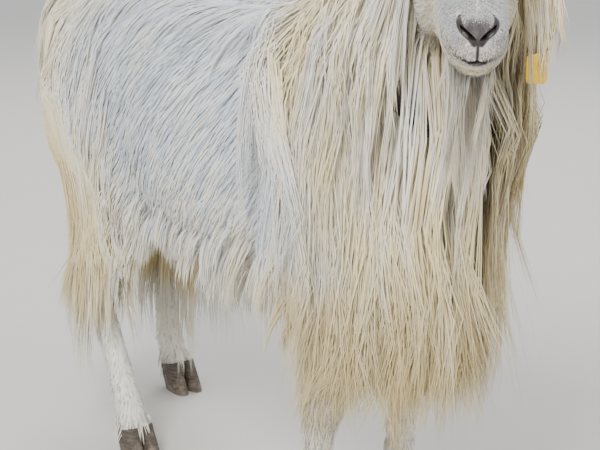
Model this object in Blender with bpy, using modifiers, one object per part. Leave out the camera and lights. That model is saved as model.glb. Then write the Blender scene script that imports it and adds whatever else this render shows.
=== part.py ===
"""A life-size, long-haired white billy goat, standing with its head turned to its right.

+X is forward, +Y is its left, and the floor is at z = 0.
"""

import math
import random

import bmesh
import bpy
import numpy as np
from mathutils import Matrix, Vector
from mathutils.bvhtree import BVHTree

# Driving sizes, in metres
WITHERS = 0.76  # height of the shoulders
GAP = 0.0004  # what two touching nodes keep between them
CLEAR = 0.00026  # how far a node is cut back from one that it would cross. It stays under the gap
BODY_TRIANGLES = 2300
HEAD_TRIANGLES = 1150
RIGHT, LEFT = -1, 1  # signs of Y
ACROSS, AHEAD, UPWARD = Vector((0, 1, 0)), Vector((1, 0, 0)), Vector((0, 0, 1))

# The trunk's stations: x, top, bottom, half width, and the level of its widest point
TRUNK = (
    (-0.490, 0.630, 0.560, 0.030, 0.600),
    (-0.462, 0.676, 0.520, 0.066, 0.606),
    (-0.405, 0.712, 0.478, 0.098, 0.606),
    (-0.320, 0.738, 0.440, 0.120, 0.600),
    (-0.240, 0.744, 0.405, 0.132, 0.585),
    (-0.150, 0.734, 0.368, 0.147, 0.560),
    (-0.050, 0.724, 0.342, 0.164, 0.530),
    (0.050, 0.726, 0.338, 0.166, 0.520),
    (0.130, 0.742, 0.350, 0.150, 0.525),
    (0.200, WITHERS, 0.364, 0.128, 0.535),
    (0.280, 0.748, 0.378, 0.112, 0.545),
    (0.345, 0.700, 0.398, 0.096, 0.550),
    (0.395, 0.640, 0.424, 0.076, 0.535),
    (0.425, 0.585, 0.462, 0.046, 0.520),
    (0.437, 0.545, 0.495, 0.018, 0.520),
)

# The neck's stations along its axis: x, y, z, half width, and half depth
NECK = (
    (0.225, 0.000, 0.580, 0.084, 0.165),
    (0.290, 0.000, 0.645, 0.082, 0.145),
    (0.350, -0.002, 0.716, 0.073, 0.116),
    (0.400, -0.008, 0.778, 0.062, 0.088),
    (0.436, -0.014, 0.822, 0.054, 0.070),
    (0.462, -0.024, 0.846, 0.038, 0.048),
)

# The head's own axes: it looks down and to the goat's right
POLL = Vector((0.441, -0.005, 0.872))
HEAD_TURN = math.radians(-38)
HEAD_DIP = math.radians(22)
HEAD_LENGTH = 0.264
# The head's stations: distance from the poll, top, bottom, half width, and level of the widest point
HEAD = (
    (-0.030, -0.012, -0.080, 0.030, -0.045),
    (-0.005, 0.012, -0.098, 0.047, -0.045),
    (0.035, 0.026, -0.114, 0.055, -0.042),
    (0.075, 0.030, -0.118, 0.055, -0.040),
    (0.110, 0.022, -0.110, 0.048, -0.042),
    (0.150, 0.010, -0.093, 0.040, -0.040),
    (0.190, 0.006, -0.079, 0.0360, -0.036),
    (0.216, 0.004, -0.075, 0.0350, -0.036),
    (0.236, 0.000, -0.071, 0.0310, -0.037),
    (0.251, -0.007, -0.066, 0.0240, -0.038),
    (0.260, -0.016, -0.058, 0.0150, -0.038),
    (HEAD_LENGTH, -0.027, -0.049, 0.0060, -0.038),
)
EYE = (0.086, 0.0475, -0.010)  # an eyeball's place in the head: along, out and up
EYE_RADIUS = 0.0145
LID = 0.0028  # thickness of the lids over the eyeball
EYE_OPENING = (0.0125, 0.0080, 0.0058)  # half length of the slit, and its rise and drop
NOSTRIL = (0.0135, -0.0100)  # the middle of a nostril on the nose: out and up
NOSTRIL_LENGTH = 0.019
MOUTH_CORNER = -0.036  # level of the corners of the mouth
MOUTH_FRONT = -0.0450  # level of the middle of the mouth line
MOUTH_DEPTH = 0.007

HORN_LENGTH = 0.43
HORN_ROOT = (0.022, 0.026, 0.006)  # in the head: along, out and up
EAR_LENGTH = 0.196
EAR_ROOT = (-0.002, 0.037, -0.026)
EAR_HALF_WIDTH = 0.031
EAR_CUP = 0.015  # how far the ear's edges stand ahead of its middle at the root
EAR_THICKNESS = 0.0042
EAR_STEPS = 12
TAG_STATION = 10  # where on the ear the tag's pin goes through
TAG_SIZE = (0.028, 0.034, 0.0020)
TAG_REACH = 0.0070  # from the middle of the ear to the plate and to the button
TAG_PIN = 0.0030

# The legs' stations from the top: x, z, half depth along the goat, half width across it
FORELEG = (
    (0.232, 0.520, 0.078, 0.036),
    (0.228, 0.450, 0.068, 0.040),
    (0.240, 0.390, 0.050, 0.036),
    (0.254, 0.330, 0.036, 0.029),
    (0.266, 0.275, 0.028, 0.025),
    (0.272, 0.245, 0.028, 0.028),
    (0.272, 0.215, 0.025, 0.026),
    (0.267, 0.175, 0.0185, 0.0180),
    (0.265, 0.125, 0.0180, 0.0180),
    (0.266, 0.095, 0.0235, 0.0225),
    (0.278, 0.066, 0.0205, 0.0215),
    (0.292, 0.036, 0.0250, 0.0265),
)
# The hind leg's joints, stepped forward on the right and back on the left: hip, stifle, hock, fetlock and coronet
HIND_JOINTS = {
    RIGHT: ((-0.350, 0.610), (-0.160, 0.440), (-0.298, 0.268), (-0.208, 0.094), (-0.184, 0.036)),
    LEFT: ((-0.370, 0.610), (-0.235, 0.430), (-0.438, 0.268), (-0.412, 0.094), (-0.386, 0.036)),
}
# Half depth and half width of the hind leg at the hip, stifle, gaskin, hock, cannon, fetlock and coronet
HIND_GIRTHS = (
    (0.100, 0.050),
    (0.082, 0.048),
    (0.048, 0.031),
    (0.031, 0.0225),
    (0.0200, 0.0190),
    (0.0230, 0.0230),
    (0.0250, 0.0265),
)
SHANK_TOP = 9  # the ring from which a leg's shank starts, of 30
FORE_TRACK = 0.082  # half the distance between the forelegs
HIND_TRACK = 0.102
FORE_STEP = {RIGHT: 0.008, LEFT: -0.020}  # how far each forefoot stands ahead
CORONET = 0.046  # height of a claw at its middle
CORONET_SLOPE = math.radians(14)
CLAW_HALF_WIDTH = 0.0130
# A claw from its top to its sole: height, how far ahead it stands, half depth, and share of the half width
CLAW_ROWS = (
    (0.066, -0.006, 0.0225, 0.92),
    (0.040, 0.001, 0.0255, 1.0),
    (0.018, 0.011, 0.0290, 1.0),
    (0.0, 0.019, 0.0305, 0.94),
)

TAIL = (
    (-0.440, 0.000, 0.668, 0.030),
    (-0.500, -0.004, 0.672, 0.024),
    (-0.545, -0.012, 0.650, 0.020),
    (-0.562, -0.020, 0.606, 0.015),
    (-0.566, -0.024, 0.562, 0.007),
)

COLLAR_CENTRE = Vector((0.362, 0.004, 0.706))
COLLAR_RADII = (0.142, 0.098)
COLLAR_SLOPE = math.radians(44)
COLLAR_WIDTH = 0.022
COLLAR_THICKNESS = 0.0035

# The planes that part the body: a point on each, and its normal
NECK_LINE = ((0.220, 0, WITHERS), (0.832, 0, 0.555))
GIRTH_LINE = ((0.100, 0, 0.5), (1, 0, 0))
FLANK_LINE = ((-0.200, 0, 0.740), (0.922, 0, 0.388))
ELBOW_LINE = ((0, 0, 0.360), (0, 0, 1))
GASKIN_LINE = ((0, 0, 0.350), (0, 0, 1))
MIDDLE_LINE = ((0, 0, 0), (0, 1, 0))


def resample(rows, count):
    """The rows of numbers along a part, made count rows on a Catmull-Rom spline."""
    rows = np.array(rows, float)
    padded = np.vstack([2 * rows[0] - rows[1], rows, 2 * rows[-1] - rows[-2]])
    made = []
    for place in np.linspace(0, len(rows) - 1, count):
        i = min(int(place), len(rows) - 2)
        u = place - i
        a, b, c, d = padded[i : i + 4]
        made.append(b + 0.5 * u * (c - a + u * (2 * a - 5 * b + 4 * c - d + u * (3 * (b - c) + d - a))))
    return np.array(made)


def section(centre, across, up, half_width, rise, drop, sides, fullness=2.0):
    """One closed ring: a superellipse, with its own rise above and drop below the centre."""
    points = []
    for k in range(sides):
        angle = 2 * math.pi * k / sides
        c, s = math.cos(angle), math.sin(angle)
        along_x = math.copysign(abs(c) ** (2 / fullness), c) * half_width
        along_z = math.copysign(abs(s) ** (2 / fullness), s) * (rise if s > 0 else drop)
        points.append(Vector(centre) + across * along_x + up * along_z)
    return points


def from_bmesh(name, bm):
    mesh = bpy.data.meshes.new(name)
    bm.to_mesh(mesh)
    bm.free()
    made = bpy.data.objects.new(name, mesh)
    bpy.context.scene.collection.objects.link(made)
    return made


def tube(name, rings):
    """A closed loft through rings that have the same number of points."""
    bm = bmesh.new()
    made = [[bm.verts.new(p) for p in ring] for ring in rings]
    sides = len(made[0])
    for first, second in zip(made, made[1:]):
        for k in range(sides):
            bm.faces.new((first[k], first[(k + 1) % sides], second[(k + 1) % sides], second[k]))
    bm.faces.new(made[0])
    bm.faces.new(made[-1])
    bmesh.ops.recalc_face_normals(bm, faces=bm.faces)
    if bm.calc_volume(signed=True) < 0:
        bmesh.ops.reverse_faces(bm, faces=bm.faces)
    return from_bmesh(name, bm)


def ellipsoid(name, centre, radii, turn=(0, 0, 0), detail=3):
    """A muscle or bone swelling: an icosphere drawn out to three radii, turned by angles in degrees."""
    bm = bmesh.new()
    bmesh.ops.create_icosphere(bm, subdivisions=detail, radius=1.0)
    x_turn, y_turn, z_turn = (math.radians(a) for a in turn)
    spin = Matrix.Rotation(z_turn, 4, "Z") @ Matrix.Rotation(y_turn, 4, "Y") @ Matrix.Rotation(x_turn, 4, "X")
    place = Matrix.Translation(Vector(centre)) @ spin @ Matrix.Diagonal((*radii, 1))
    bmesh.ops.transform(bm, matrix=place, verts=bm.verts)
    return from_bmesh(name, bm)


def path_frames(points):
    """For each point of a path, the directions across it (level) and up from it."""
    frames = []
    for i, here in enumerate(points):
        along = (points[min(i + 1, len(points) - 1)] - points[max(i - 1, 0)]).normalized()
        across = UPWARD.cross(along).normalized()
        frames.append((here, across, along.cross(across)))
    return frames


def evaluated(obj):
    """The object with its modifiers made part of its mesh."""
    mesh = bpy.data.meshes.new_from_object(obj.evaluated_get(bpy.context.evaluated_depsgraph_get()))
    obj.modifiers.clear()
    obj.data = mesh
    return obj


def joined(name, pieces):
    """One object that holds the pieces' meshes side by side."""
    bm = bmesh.new()
    for piece in pieces:
        bm.from_mesh(piece.data)
        bpy.data.objects.remove(piece)
    return from_bmesh(name, bm)


def fused(name, pieces, voxel, smoothing):
    """The pieces made one closed body, with their joins softened."""
    made = joined(name, pieces)
    grid = made.modifiers.new("one body", "REMESH")
    grid.mode = "VOXEL"
    grid.voxel_size = voxel
    soften = made.modifiers.new("soft joins", "SMOOTH")
    soften.factor = 0.5
    soften.iterations = smoothing
    return evaluated(made)


def thinned(obj, triangles):
    """The object with about that many triangles."""
    obj.data.calc_loop_triangles()
    fewer = obj.modifiers.new("fewer faces", "DECIMATE")
    fewer.ratio = triangles / len(obj.data.loop_triangles)
    fewer.use_collapse_triangulate = True
    return evaluated(obj)


def between(obj, name, planes):
    """The part of the object on the side that each plane's normal points to, closed with flat faces."""
    bm = bmesh.new()
    bm.from_mesh(obj.data)
    for point, normal in planes:
        normal = Vector(normal).normalized()
        cut = Vector(point) + normal * GAP / 2
        everything = [*bm.verts, *bm.edges, *bm.faces]
        bmesh.ops.bisect_plane(bm, geom=everything, plane_co=cut, plane_no=normal, clear_inner=True)
        bmesh.ops.holes_fill(bm, edges=[e for e in bm.edges if e.is_boundary])
    bmesh.ops.triangulate(bm, faces=[f for f in bm.faces if len(f.verts) > 3])
    return from_bmesh(name, bm)


def behind(plane):
    """The same plane, facing the other way."""
    point, normal = plane
    return point, tuple(-n for n in normal)


def boolean(obj, operation, others, solver="EXACT"):
    """The object joined with the others, or cut by them. The others are removed."""
    group = bpy.data.collections.new(operation.lower())
    bpy.context.scene.collection.children.link(group)
    for other in others:
        group.objects.link(other)
    change = obj.modifiers.new(operation.lower(), "BOOLEAN")
    change.operation = operation
    change.operand_type = "COLLECTION"
    change.collection = group
    change.solver = solver
    evaluated(obj)
    for other in others:
        bpy.data.objects.remove(other)
    bpy.data.collections.remove(group)
    return obj


def grown(obj):
    """A copy of the object, larger on every side by what a neighbour keeps clear of it."""
    made = bpy.data.objects.new(obj.name + " grown", obj.data.copy())
    bpy.context.scene.collection.objects.link(made)
    push = made.modifiers.new("grow", "DISPLACE")
    push.strength = CLEAR
    push.mid_level = 0
    return evaluated(made)


def largest(obj):
    """The object with only its largest closed surface kept."""
    bm = bmesh.new()
    bm.from_mesh(obj.data)
    unseen = set(bm.verts)
    pieces = []
    while unseen:
        front = [unseen.pop()]
        piece = list(front)
        while front:
            for edge in front.pop().link_edges:
                other = edge.verts[0] if edge.verts[0] in unseen else edge.verts[1]
                if other in unseen:
                    unseen.remove(other)
                    front.append(other)
                    piece.append(other)
        pieces.append(piece)
    pieces.sort(key=len)
    for piece in pieces[:-1]:
        bmesh.ops.delete(bm, geom=piece, context="VERTS")
    bm.to_mesh(obj.data)
    bm.free()
    return obj


def in_triangles(obj):
    """The object in triangles, without the pairs that lie back to back."""
    bm = bmesh.new()
    bm.from_mesh(obj.data)
    bmesh.ops.triangulate(bm, faces=bm.faces)
    alike = {}
    for face in bm.faces:
        alike.setdefault(frozenset(vert.index for vert in face.verts), []).append(face)
    pairs = [face for faces in alike.values() if len(faces) > 1 for face in faces]
    bmesh.ops.delete(bm, geom=pairs, context="FACES")
    bm.to_mesh(obj.data)
    bm.free()
    return obj


def clear_of(obj, *others):
    """The object, cut so that it keeps clear of each of the others."""
    boolean(obj, "DIFFERENCE", [grown(other) for other in others], "MANIFOLD")
    return largest(obj)


def on_side(side, thing):
    return f"{thing}_{'left' if side == LEFT else 'right'}"


def side_of(side):
    return MIDDLE_LINE if side == LEFT else behind(MIDDLE_LINE)


def head_axes():
    """The head's directions: along the face to the nose, to its left, and up from the face."""
    c, s = math.cos(HEAD_DIP), math.sin(HEAD_DIP)
    along = Vector((math.cos(HEAD_TURN) * c, math.sin(HEAD_TURN) * c, -s))
    left = Vector((-math.sin(HEAD_TURN), math.cos(HEAD_TURN), 0))
    return along, left, along.cross(left)


def on_head(along, left, up):
    """A place given in the head's own axes."""
    a, b, c = head_axes()
    return POLL + a * along + b * left + c * up


def head_turned():
    """The turn of an ellipsoid that lies along the head, in degrees."""
    return 0, math.degrees(HEAD_DIP), math.degrees(HEAD_TURN)


# The body


def trunk():
    rings = [
        section((x, 0, level), ACROSS, UPWARD, wide, top - level, level - bottom, 28, 2.15)
        for x, top, bottom, wide, level in resample(TRUNK, 30)
    ]
    return tube("trunk", rings)


def neck_core():
    rows = resample(NECK, 18)
    rings = []
    for (here, across, up), row in zip(path_frames([Vector(row[:3]) for row in rows]), rows):
        rings.append(section(here, across, up, row[3], row[4], row[4], 22))
    return tube("neck_core", rings)


def foreleg_core(side, top=0):
    rings = []
    for x, z, deep, wide in resample(FORELEG, 30)[top:]:
        step = FORE_STEP[side] * min(1, max(0, (0.5 - z) / 0.45))
        rings.append(section((x + step, side * FORE_TRACK, z), ACROSS, AHEAD, wide, deep, deep, 14))
    return tube("foreleg_core", rings)


def hind_leg_core(side, top=0):
    hip, stifle, hock, fetlock, coronet = (Vector((x, side * HIND_TRACK, z)) for x, z in HIND_JOINTS[side])
    places = (hip, stifle, stifle.lerp(hock, 0.55), hock, hock.lerp(fetlock, 0.55), fetlock, coronet)
    rows = resample([(*place, *girth) for place, girth in zip(places, HIND_GIRTHS)], 30)
    points = [Vector(row[:3]) for row in rows]
    rings = []
    for i, (point, row) in enumerate(zip(points, rows)):
        along = (points[min(i + 1, len(points) - 1)] - points[max(i - 1, 0)]).normalized()
        rings.append(section(point, ACROSS, ACROSS.cross(along), row[4], row[3], row[3], 14))
    return tube("hind_leg_core", rings[top:])


def limbs(top=0):
    """The four legs, each from its ring of that number down."""
    return [make(side, top) for make in (foreleg_core, hind_leg_core) for side in (RIGHT, LEFT)]


def muscles():
    """The swellings that the limbs make on the trunk, on both sides."""
    made = []
    for side in (RIGHT, LEFT):
        made.append(ellipsoid("blade", (0.222, side * 0.078, 0.600), (0.088, 0.044, 0.165), (0, -18, 0)))
        made.append(ellipsoid("upper_arm", (0.300, side * 0.066, 0.490), (0.100, 0.050, 0.080), (0, 38, 0)))
        made.append(ellipsoid("croup", (-0.330, side * 0.052, 0.618), (0.140, 0.066, 0.092), (0, 10, 0)))
        hip, stifle = (Vector((x, 0, z)) for x, z in HIND_JOINTS[side][:2])
        mid = hip.lerp(stifle, 0.5)
        thigh = (mid.x - 0.020, side * 0.084, mid.z - 0.010)
        ham = (hip.x - 0.040, side * 0.062, hip.z - 0.080)
        made.append(ellipsoid("thigh", thigh, (0.155, 0.052, 0.135), (0, 28, 0)))
        made.append(ellipsoid("ham", ham, (0.085, 0.052, 0.145), (0, 10, 0)))
    return made


def whole_body():
    """Trunk, neck and legs as one body. The shanks come again after the heavy smoothing, at their true girth."""
    mass = fused("mass", [trunk(), neck_core(), *muscles(), *limbs()], 0.010, 26)
    return fused("body", [mass, *limbs(SHANK_TOP)], 0.0065, 5)


# The head


def head_core():
    along, left, up = head_axes()
    rings = [
        section(on_head(s, 0, level), left, up, wide, top - level, level - bottom, 26, 2.3)
        for s, top, bottom, wide, level in resample(HEAD, 26)
    ]
    return tube("head_core", rings)


def head_forms():
    """The bony and fleshy swellings of the head: on_head place, then radii along, out and up."""
    middle = (
        ("chin", (0.228, 0, -0.066), (0.026, 0.020, 0.013)),
        ("forehead", (0.052, 0, 0.018), (0.045, 0.036, 0.020)),
    )
    paired = (
        ("brow", (0.084, 0.043, -0.005), (0.027, 0.019, 0.021)),
        ("lid_bulge", EYE, (EYE_RADIUS + LID,) * 3),
        ("cheek", (0.070, 0.037, -0.066), (0.050, 0.021, 0.046)),
        ("nostril_wing", (0.238, 0.016, -0.012), (0.019, 0.011, 0.013)),
        ("upper_lip", (0.242, 0.010, -0.034), (0.020, 0.015, 0.013)),
        ("horn_boss", (0.024, 0.025, 0.014), (0.026, 0.021, 0.020)),
    )
    made = [ellipsoid(name, on_head(*place), radii, head_turned()) for name, place, radii in middle]
    for side in (RIGHT, LEFT):
        for name, (along, out, up), radii in paired:
            made.append(ellipsoid(name, on_head(along, side * out, up), radii, head_turned()))
    return made


def eye_frame(side):
    """An eye's centre, and its directions: out of the head, along the slit and across it."""
    along, left, up = head_axes()
    outward = (left * side * 0.90 + along * 0.38 + up * 0.20).normalized()
    slit = (along - up * 0.16).normalized()
    slit = (slit - outward * slit.dot(outward)).normalized()
    return on_head(EYE[0], side * EYE[1], EYE[2]), outward, slit, slit.cross(outward) * side


def eye(side):
    centre, outward, _, _ = eye_frame(side)
    bm = bmesh.new()
    bmesh.ops.create_uvsphere(bm, u_segments=12, v_segments=6, radius=EYE_RADIUS)
    made = from_bmesh(on_side(side, "eye"), bm)
    turn = outward.to_track_quat("Z", "Y").to_matrix().to_4x4()
    made.data.transform(Matrix.Translation(centre) @ turn)
    return made


def lid_slit(side):
    """What is cut out of the lids: an almond that widens outwards."""
    centre, outward, slit, rise = eye_frame(side)
    length, above, below = EYE_OPENING
    rings = []
    for depth, size in ((0.004, 0.92), (EYE_RADIUS, 1.0), (EYE_RADIUS * 1.6, 1.3)):
        ring = []
        for k in range(12):
            angle = 2 * math.pi * k / 12
            s = math.sin(angle)
            high = (above if s > 0 else below) * math.copysign(abs(s) ** 1.2, s)
            ring.append(centre + outward * depth + slit * (length * size * math.cos(angle)) + rise * (high * size))
        rings.append(ring)
    return tube("lid_slit", rings)


def muzzle_point(skin, angle, up):
    """The place on the muzzle's surface at that angle from straight ahead, at that level."""
    along, left, _ = head_axes()
    centre = on_head(0.222, 0, up)
    way = along * math.cos(angle) + left * math.sin(angle)
    return skin.ray_cast(centre + way * 0.2, -way)[0], way


def nostrils(skin):
    """The slits of the nostrils, which slant in and down on the nose and go into the head."""
    along, left, up = head_axes()
    made = []
    for side in (RIGHT, LEFT):
        place = on_head(0.35, side * NOSTRIL[0], NOSTRIL[1])
        spot = skin.ray_cast(place, -along)[0]
        slant = (left * side * 0.62 + up * 0.78).normalized()
        inward = (-along + left * side * 0.35).normalized()
        inward = (inward - slant * inward.dot(slant)).normalized()
        rings = []
        for t in (-1, -0.55, 0, 0.55, 1):
            wide = 0.0024 * (1 - t * t) ** 0.5 + 0.0003
            bend = inward.cross(slant) * side * (-0.0016 * t * t)
            here = spot + slant * (NOSTRIL_LENGTH / 2 * t) + bend
            rings.append(section(here, inward.cross(slant), inward, wide, 0.009, 0.006, 8))
        made.append(tube("nostril", rings))
    return made


def mouth(skin):
    """The line between the lips: a thin blade round the muzzle, that turns up at its corners."""
    rings = []
    _, _, up = head_axes()
    steps = 12
    for i in range(steps + 1):
        t = -1 + 2 * i / steps
        level = MOUTH_FRONT + (MOUTH_CORNER - MOUTH_FRONT) * t * t
        spot, way = muzzle_point(skin, t * math.radians(128), level)
        deep = MOUTH_DEPTH * (1 - 0.6 * t * t)
        outer, inner = spot + way * 0.003, spot - way * deep
        gape, slit = up * 0.0012, up * 0.0005
        rings.append([outer + gape, inner + slit, inner - slit, outer - gape])
    return tube("mouth", rings)


def head():
    return thinned(fused("head", [head_core(), *head_forms()], 0.0032, 3), HEAD_TRIANGLES)


def face_cut(made):
    """The head with its mouth line, nostrils and the slits between its lids."""
    skin = BVHTree.FromPolygons([v.co for v in made.data.vertices], [p.vertices for p in made.data.polygons])
    boolean(made, "DIFFERENCE", [mouth(skin), *nostrils(skin), lid_slit(RIGHT), lid_slit(LEFT)])
    return largest(made)


def horn(side):
    """A horn that rises from the forehead, then sweeps back and out. It is deeper than it is wide."""
    along, left, up = head_axes()
    out = left * side
    here = on_head(HORN_ROOT[0], side * HORN_ROOT[1], HORN_ROOT[2])
    rings = []
    steps = 15
    for i in range(steps):
        t = i / (steps - 1)
        back = math.radians(24 + 92 * t)
        spread = math.radians(12 + 34 * t)
        rearward = up * math.cos(back) - along * math.sin(back)
        way = rearward * math.cos(spread) + out * math.sin(spread)
        fore = (along * math.cos(back) + up * math.sin(back)).normalized()
        size = (1 - t) ** 0.72 * 0.95 + 0.05
        rings.append(section(here, way.cross(fore), fore, 0.0185 * size, 0.0285 * size, 0.0245 * size, 8, 1.8))
        here = here + way * HORN_LENGTH / (steps - 1)
    return tube(on_side(side, "horn"), rings)


def ear_stations(side):
    """Along the ear: the middle, the directions across it, to its cup and on, its half width and the cup's depth."""
    along, left, _ = head_axes()
    out = left * side
    here = on_head(EAR_ROOT[0], side * EAR_ROOT[1], EAR_ROOT[2])
    stations = []
    for i in range(EAR_STEPS):
        t = i / (EAR_STEPS - 1)
        fall = min(1, t / 0.32)
        way = (out * (1 - fall) - UPWARD * fall + along * 0.16 * fall).normalized()
        across = way.cross(along * 0.95 + out * 0.30).normalized()
        swell = math.sin(math.pi * min(1, 0.12 + t * 0.88)) ** 0.8
        half = EAR_HALF_WIDTH * (0.42 + 0.58 * swell) * (1 - 2.0 * max(0, t - 0.75))
        stations.append((here, across, across.cross(way).normalized(), way, half, EAR_CUP * (1 - 0.5 * t)))
        here = here + way * EAR_LENGTH / (EAR_STEPS - 1)
    return stations


def ear(side):
    """An ear that hangs from behind the horn, with its cup to the front."""
    rings = []
    points = 5
    for here, across, face, _, half, cup in ear_stations(side):
        front = []
        back = []
        for k in range(points):
            u = -1 + 2 * k / (points - 1)
            edge = here + across * half * u + face * cup * u * u
            front.append(edge + face * EAR_THICKNESS * 0.3)
            back.append(edge - face * EAR_THICKNESS * (0.7 - 0.25 * u * u))
        rings.append(front + back[::-1])
    return tube(on_side(side, "ear"), rings)


def disc(name, radius, depth, sides):
    bm = bmesh.new()
    bmesh.ops.create_cone(bm, cap_ends=True, segments=sides, radius1=radius, radius2=radius, depth=depth)
    return from_bmesh(name, bm)


def ear_tag():
    """A bare plate in front of the left ear, held by a pin through the ear with a button behind it."""
    here, across, face, way, _, _ = ear_stations(LEFT)[TAG_STATION]
    bm = bmesh.new()
    bmesh.ops.create_cube(bm, size=1)
    plate = from_bmesh("ear_tag", bm)
    hang = Matrix.Translation((0, -TAG_SIZE[1] * 0.32, TAG_REACH))
    plate.data.transform(hang @ Matrix.Diagonal((*TAG_SIZE, 1)))
    button = disc("button", TAG_SIZE[0] * 0.32, TAG_SIZE[2], 12)
    button.data.transform(Matrix.Translation((0, 0, -TAG_REACH)))
    pin = disc("pin", TAG_PIN, TAG_REACH * 2, 10)
    made = boolean(plate, "UNION", [button, pin])
    turn = Matrix((-across, -way, face)).transposed().to_4x4()
    made.data.transform(Matrix.Translation(here) @ turn)
    return made


# What stands on the floor


def coronet_plane(centre_x):
    """The sloping plane between a leg and its claws."""
    return (centre_x, 0, CORONET), (-math.sin(CORONET_SLOPE), 0, math.cos(CORONET_SLOPE))


def claws(side, end, centre_x, track):
    """The two claws of one foot. The soles are flat and stand on the floor."""
    made = []
    for half in (-1, 1):
        place = "inner" if half == -side else "outer"
        y = side * track + half * (CLAW_HALF_WIDTH + 0.0006)
        rings = [
            section((centre_x + ahead, y, z), ACROSS, AHEAD, CLAW_HALF_WIDTH * wide, deep, deep * 0.92, 10, 2.4)
            for z, ahead, deep, wide in CLAW_ROWS
        ]
        blank = tube("blank", rings)
        made.append(between(blank, on_side(side, f"claw_{end}_{place}"), [behind(coronet_plane(centre_x))]))
        bpy.data.objects.remove(blank)
    return made


def tail_core():
    rows = resample(TAIL, 10)
    rings = []
    for (here, across, up), row in zip(path_frames([Vector(row[:3]) for row in rows]), rows):
        rings.append(section(here, across, up, row[3] * 1.15, row[3], row[3], 10))
    return tube("tail", rings)


# What it wears


def collar():
    """A strap that hangs loose on the neck, lowest in front."""
    sides = 24
    slope = Matrix.Rotation(COLLAR_SLOPE, 3, "Y")
    bm = bmesh.new()
    rings = []
    for k in range(sides):
        angle = 2 * math.pi * k / sides
        reach = Vector((math.cos(angle) * COLLAR_RADII[0], math.sin(angle) * COLLAR_RADII[1], 0))
        out = reach.normalized() * COLLAR_THICKNESS
        rise = UPWARD * COLLAR_WIDTH / 2
        corners = (reach - rise, reach + out - rise, reach + out + rise, reach + rise)
        rings.append([bm.verts.new(COLLAR_CENTRE + slope @ corner) for corner in corners])
    for first, second in zip(rings, rings[1:] + rings[:1]):
        for k in range(4):
            bm.faces.new((first[k], first[(k + 1) % 4], second[(k + 1) % 4], second[k]))
    bmesh.ops.recalc_face_normals(bm, faces=bm.faces)
    return from_bmesh("collar", bm)


# The long coat, as locks

LOCK_ROOT = 0.014  # how deep a lock's root sits in the flesh
LOCK_STEPS = 3
LOCK_RIDGE = 0.17  # a lock's thickness against its width
# The girth of a lock from its root to just before its tip
LOCK_GIRTHS = (0.60, 1.0, 1.0, 0.70)

LOCK_JITTER = 0.007  # how far a root may stray from its place in the row
LOCK_SWAY = 0.10  # how far its lie may turn from the row's
# The rings of roots on the neck and chest: centre x and z, the first and last angle from straight ahead,
# how many locks on each side, length, width, and lift off the skin
MANE_RINGS = (
    (0.395, 0.790, (30, 165), 3, 0.240, 0.056, 0.026),
    (0.360, 0.740, (0, 146), 4, 0.290, 0.060, 0.024),
    (0.330, 0.670, (0, 110), 4, 0.340, 0.066, 0.022),
    (0.310, 0.600, (0, 100), 4, 0.350, 0.070, 0.018),
    (0.300, 0.530, (0, 66), 3, 0.290, 0.064, 0.010),
    (0.330, 0.480, (0, 30), 1, 0.240, 0.060, 0.006),
)
# The beard's pairs of roots: distance along the head, out to each side, and length
BEARD = ((0.218, 0.0, 0.150), (0.188, 0.012, 0.185), (0.145, 0.016, 0.170), (0.100, 0.022, 0.140))
BEARD_WIDTH = 0.040
# The forelock's roots: how far out, and length
FORELOCK = ((-0.016, 0.060), (0.0, 0.075), (0.016, 0.062))
FORELOCK_START = 0.062  # along the head
FORELOCK_WIDTH = 0.024
FORELOCK_DEPTH = 0.008
# The hair between the forelegs: first and last x, distance from the middle there, and length, width and lift
BRISKET = ((0.300, 0.026), (0.420, 0.022))
BRISKET_LOCK = (0.130, 0.040, 0.010)
# The hair behind the thighs: first and last distance from the middle, and level
BUTTOCK = ((0.052, 0.600), (0.064, 0.440))
BUTTOCK_LOCK = (0.170, 0.054, 0.012)
# The tail's locks: the angle round the tail from straight ahead, and level
TAIL_ROOTS = ((60, 0.640), (110, 0.600), (160, 0.640), (200, 0.600), (250, 0.640), (300, 0.600))
TAIL_MIDDLE = (-0.552, -0.015)
TAIL_LOCK = (0.130, 0.030, 0.006)
TAIL_DEPTH = 0.008
# The rows of roots on one side: first and last x and z, how steeply the rays fall, how many locks, their lie,
# length, width, and lift off the skin
RUMP_ROWS = (
    ((-0.220, 0.690), (-0.430, 0.650), 0.60, 3, (-0.45, 0.35, -0.75), 0.200, 0.060, 0.014),
    ((-0.170, 0.600), (-0.440, 0.580), 0.00, 4, (-0.40, 0.05, -0.90), 0.220, 0.064, 0.018),
    ((-0.140, 0.500), (-0.450, 0.495), 0.00, 4, (-0.30, 0.00, -0.95), 0.230, 0.064, 0.016),
    ((-0.160, 0.415), (-0.415, 0.410), 0.00, 4, (-0.25, 0.00, -0.97), 0.215, 0.054, 0.010),
)
ROW_OUT, SPINE_OUT = 0.060, 0.030  # distance from the middle of a row on the side, and of one beside the spine
FLANK_ROWS = (
    ((0.080, 0.735), (-0.130, 0.735), 1.60, 3, (-0.50, 0.60, -0.45), 0.170, 0.064, 0.005),
    ((0.086, 0.604), (-0.078, 0.604), 0.00, 3, (-0.40, 0.00, -0.90), 0.170, 0.064, 0.005),
    ((0.080, 0.420), (-0.130, 0.420), -0.30, 4, (-0.35, -0.10, -0.92), 0.150, 0.054, 0.010),
)


def surface(*objs):
    """What rays are cast against: the outside of all the objects."""
    points = []
    faces = []
    for obj in objs:
        faces += [[i + len(points) for i in face.vertices] for face in obj.data.polygons]
        points += [vert.co for vert in obj.data.vertices]
    return BVHTree.FromPolygons(points, faces)


def rays(first, last, count, way):
    """Rays that come in along way, to places evenly spread from first to last."""
    way = Vector(way).normalized()
    return [(Vector(first).lerp(Vector(last), (i + 0.5) / count) - way * 0.4, way) for i in range(count)]


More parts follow.
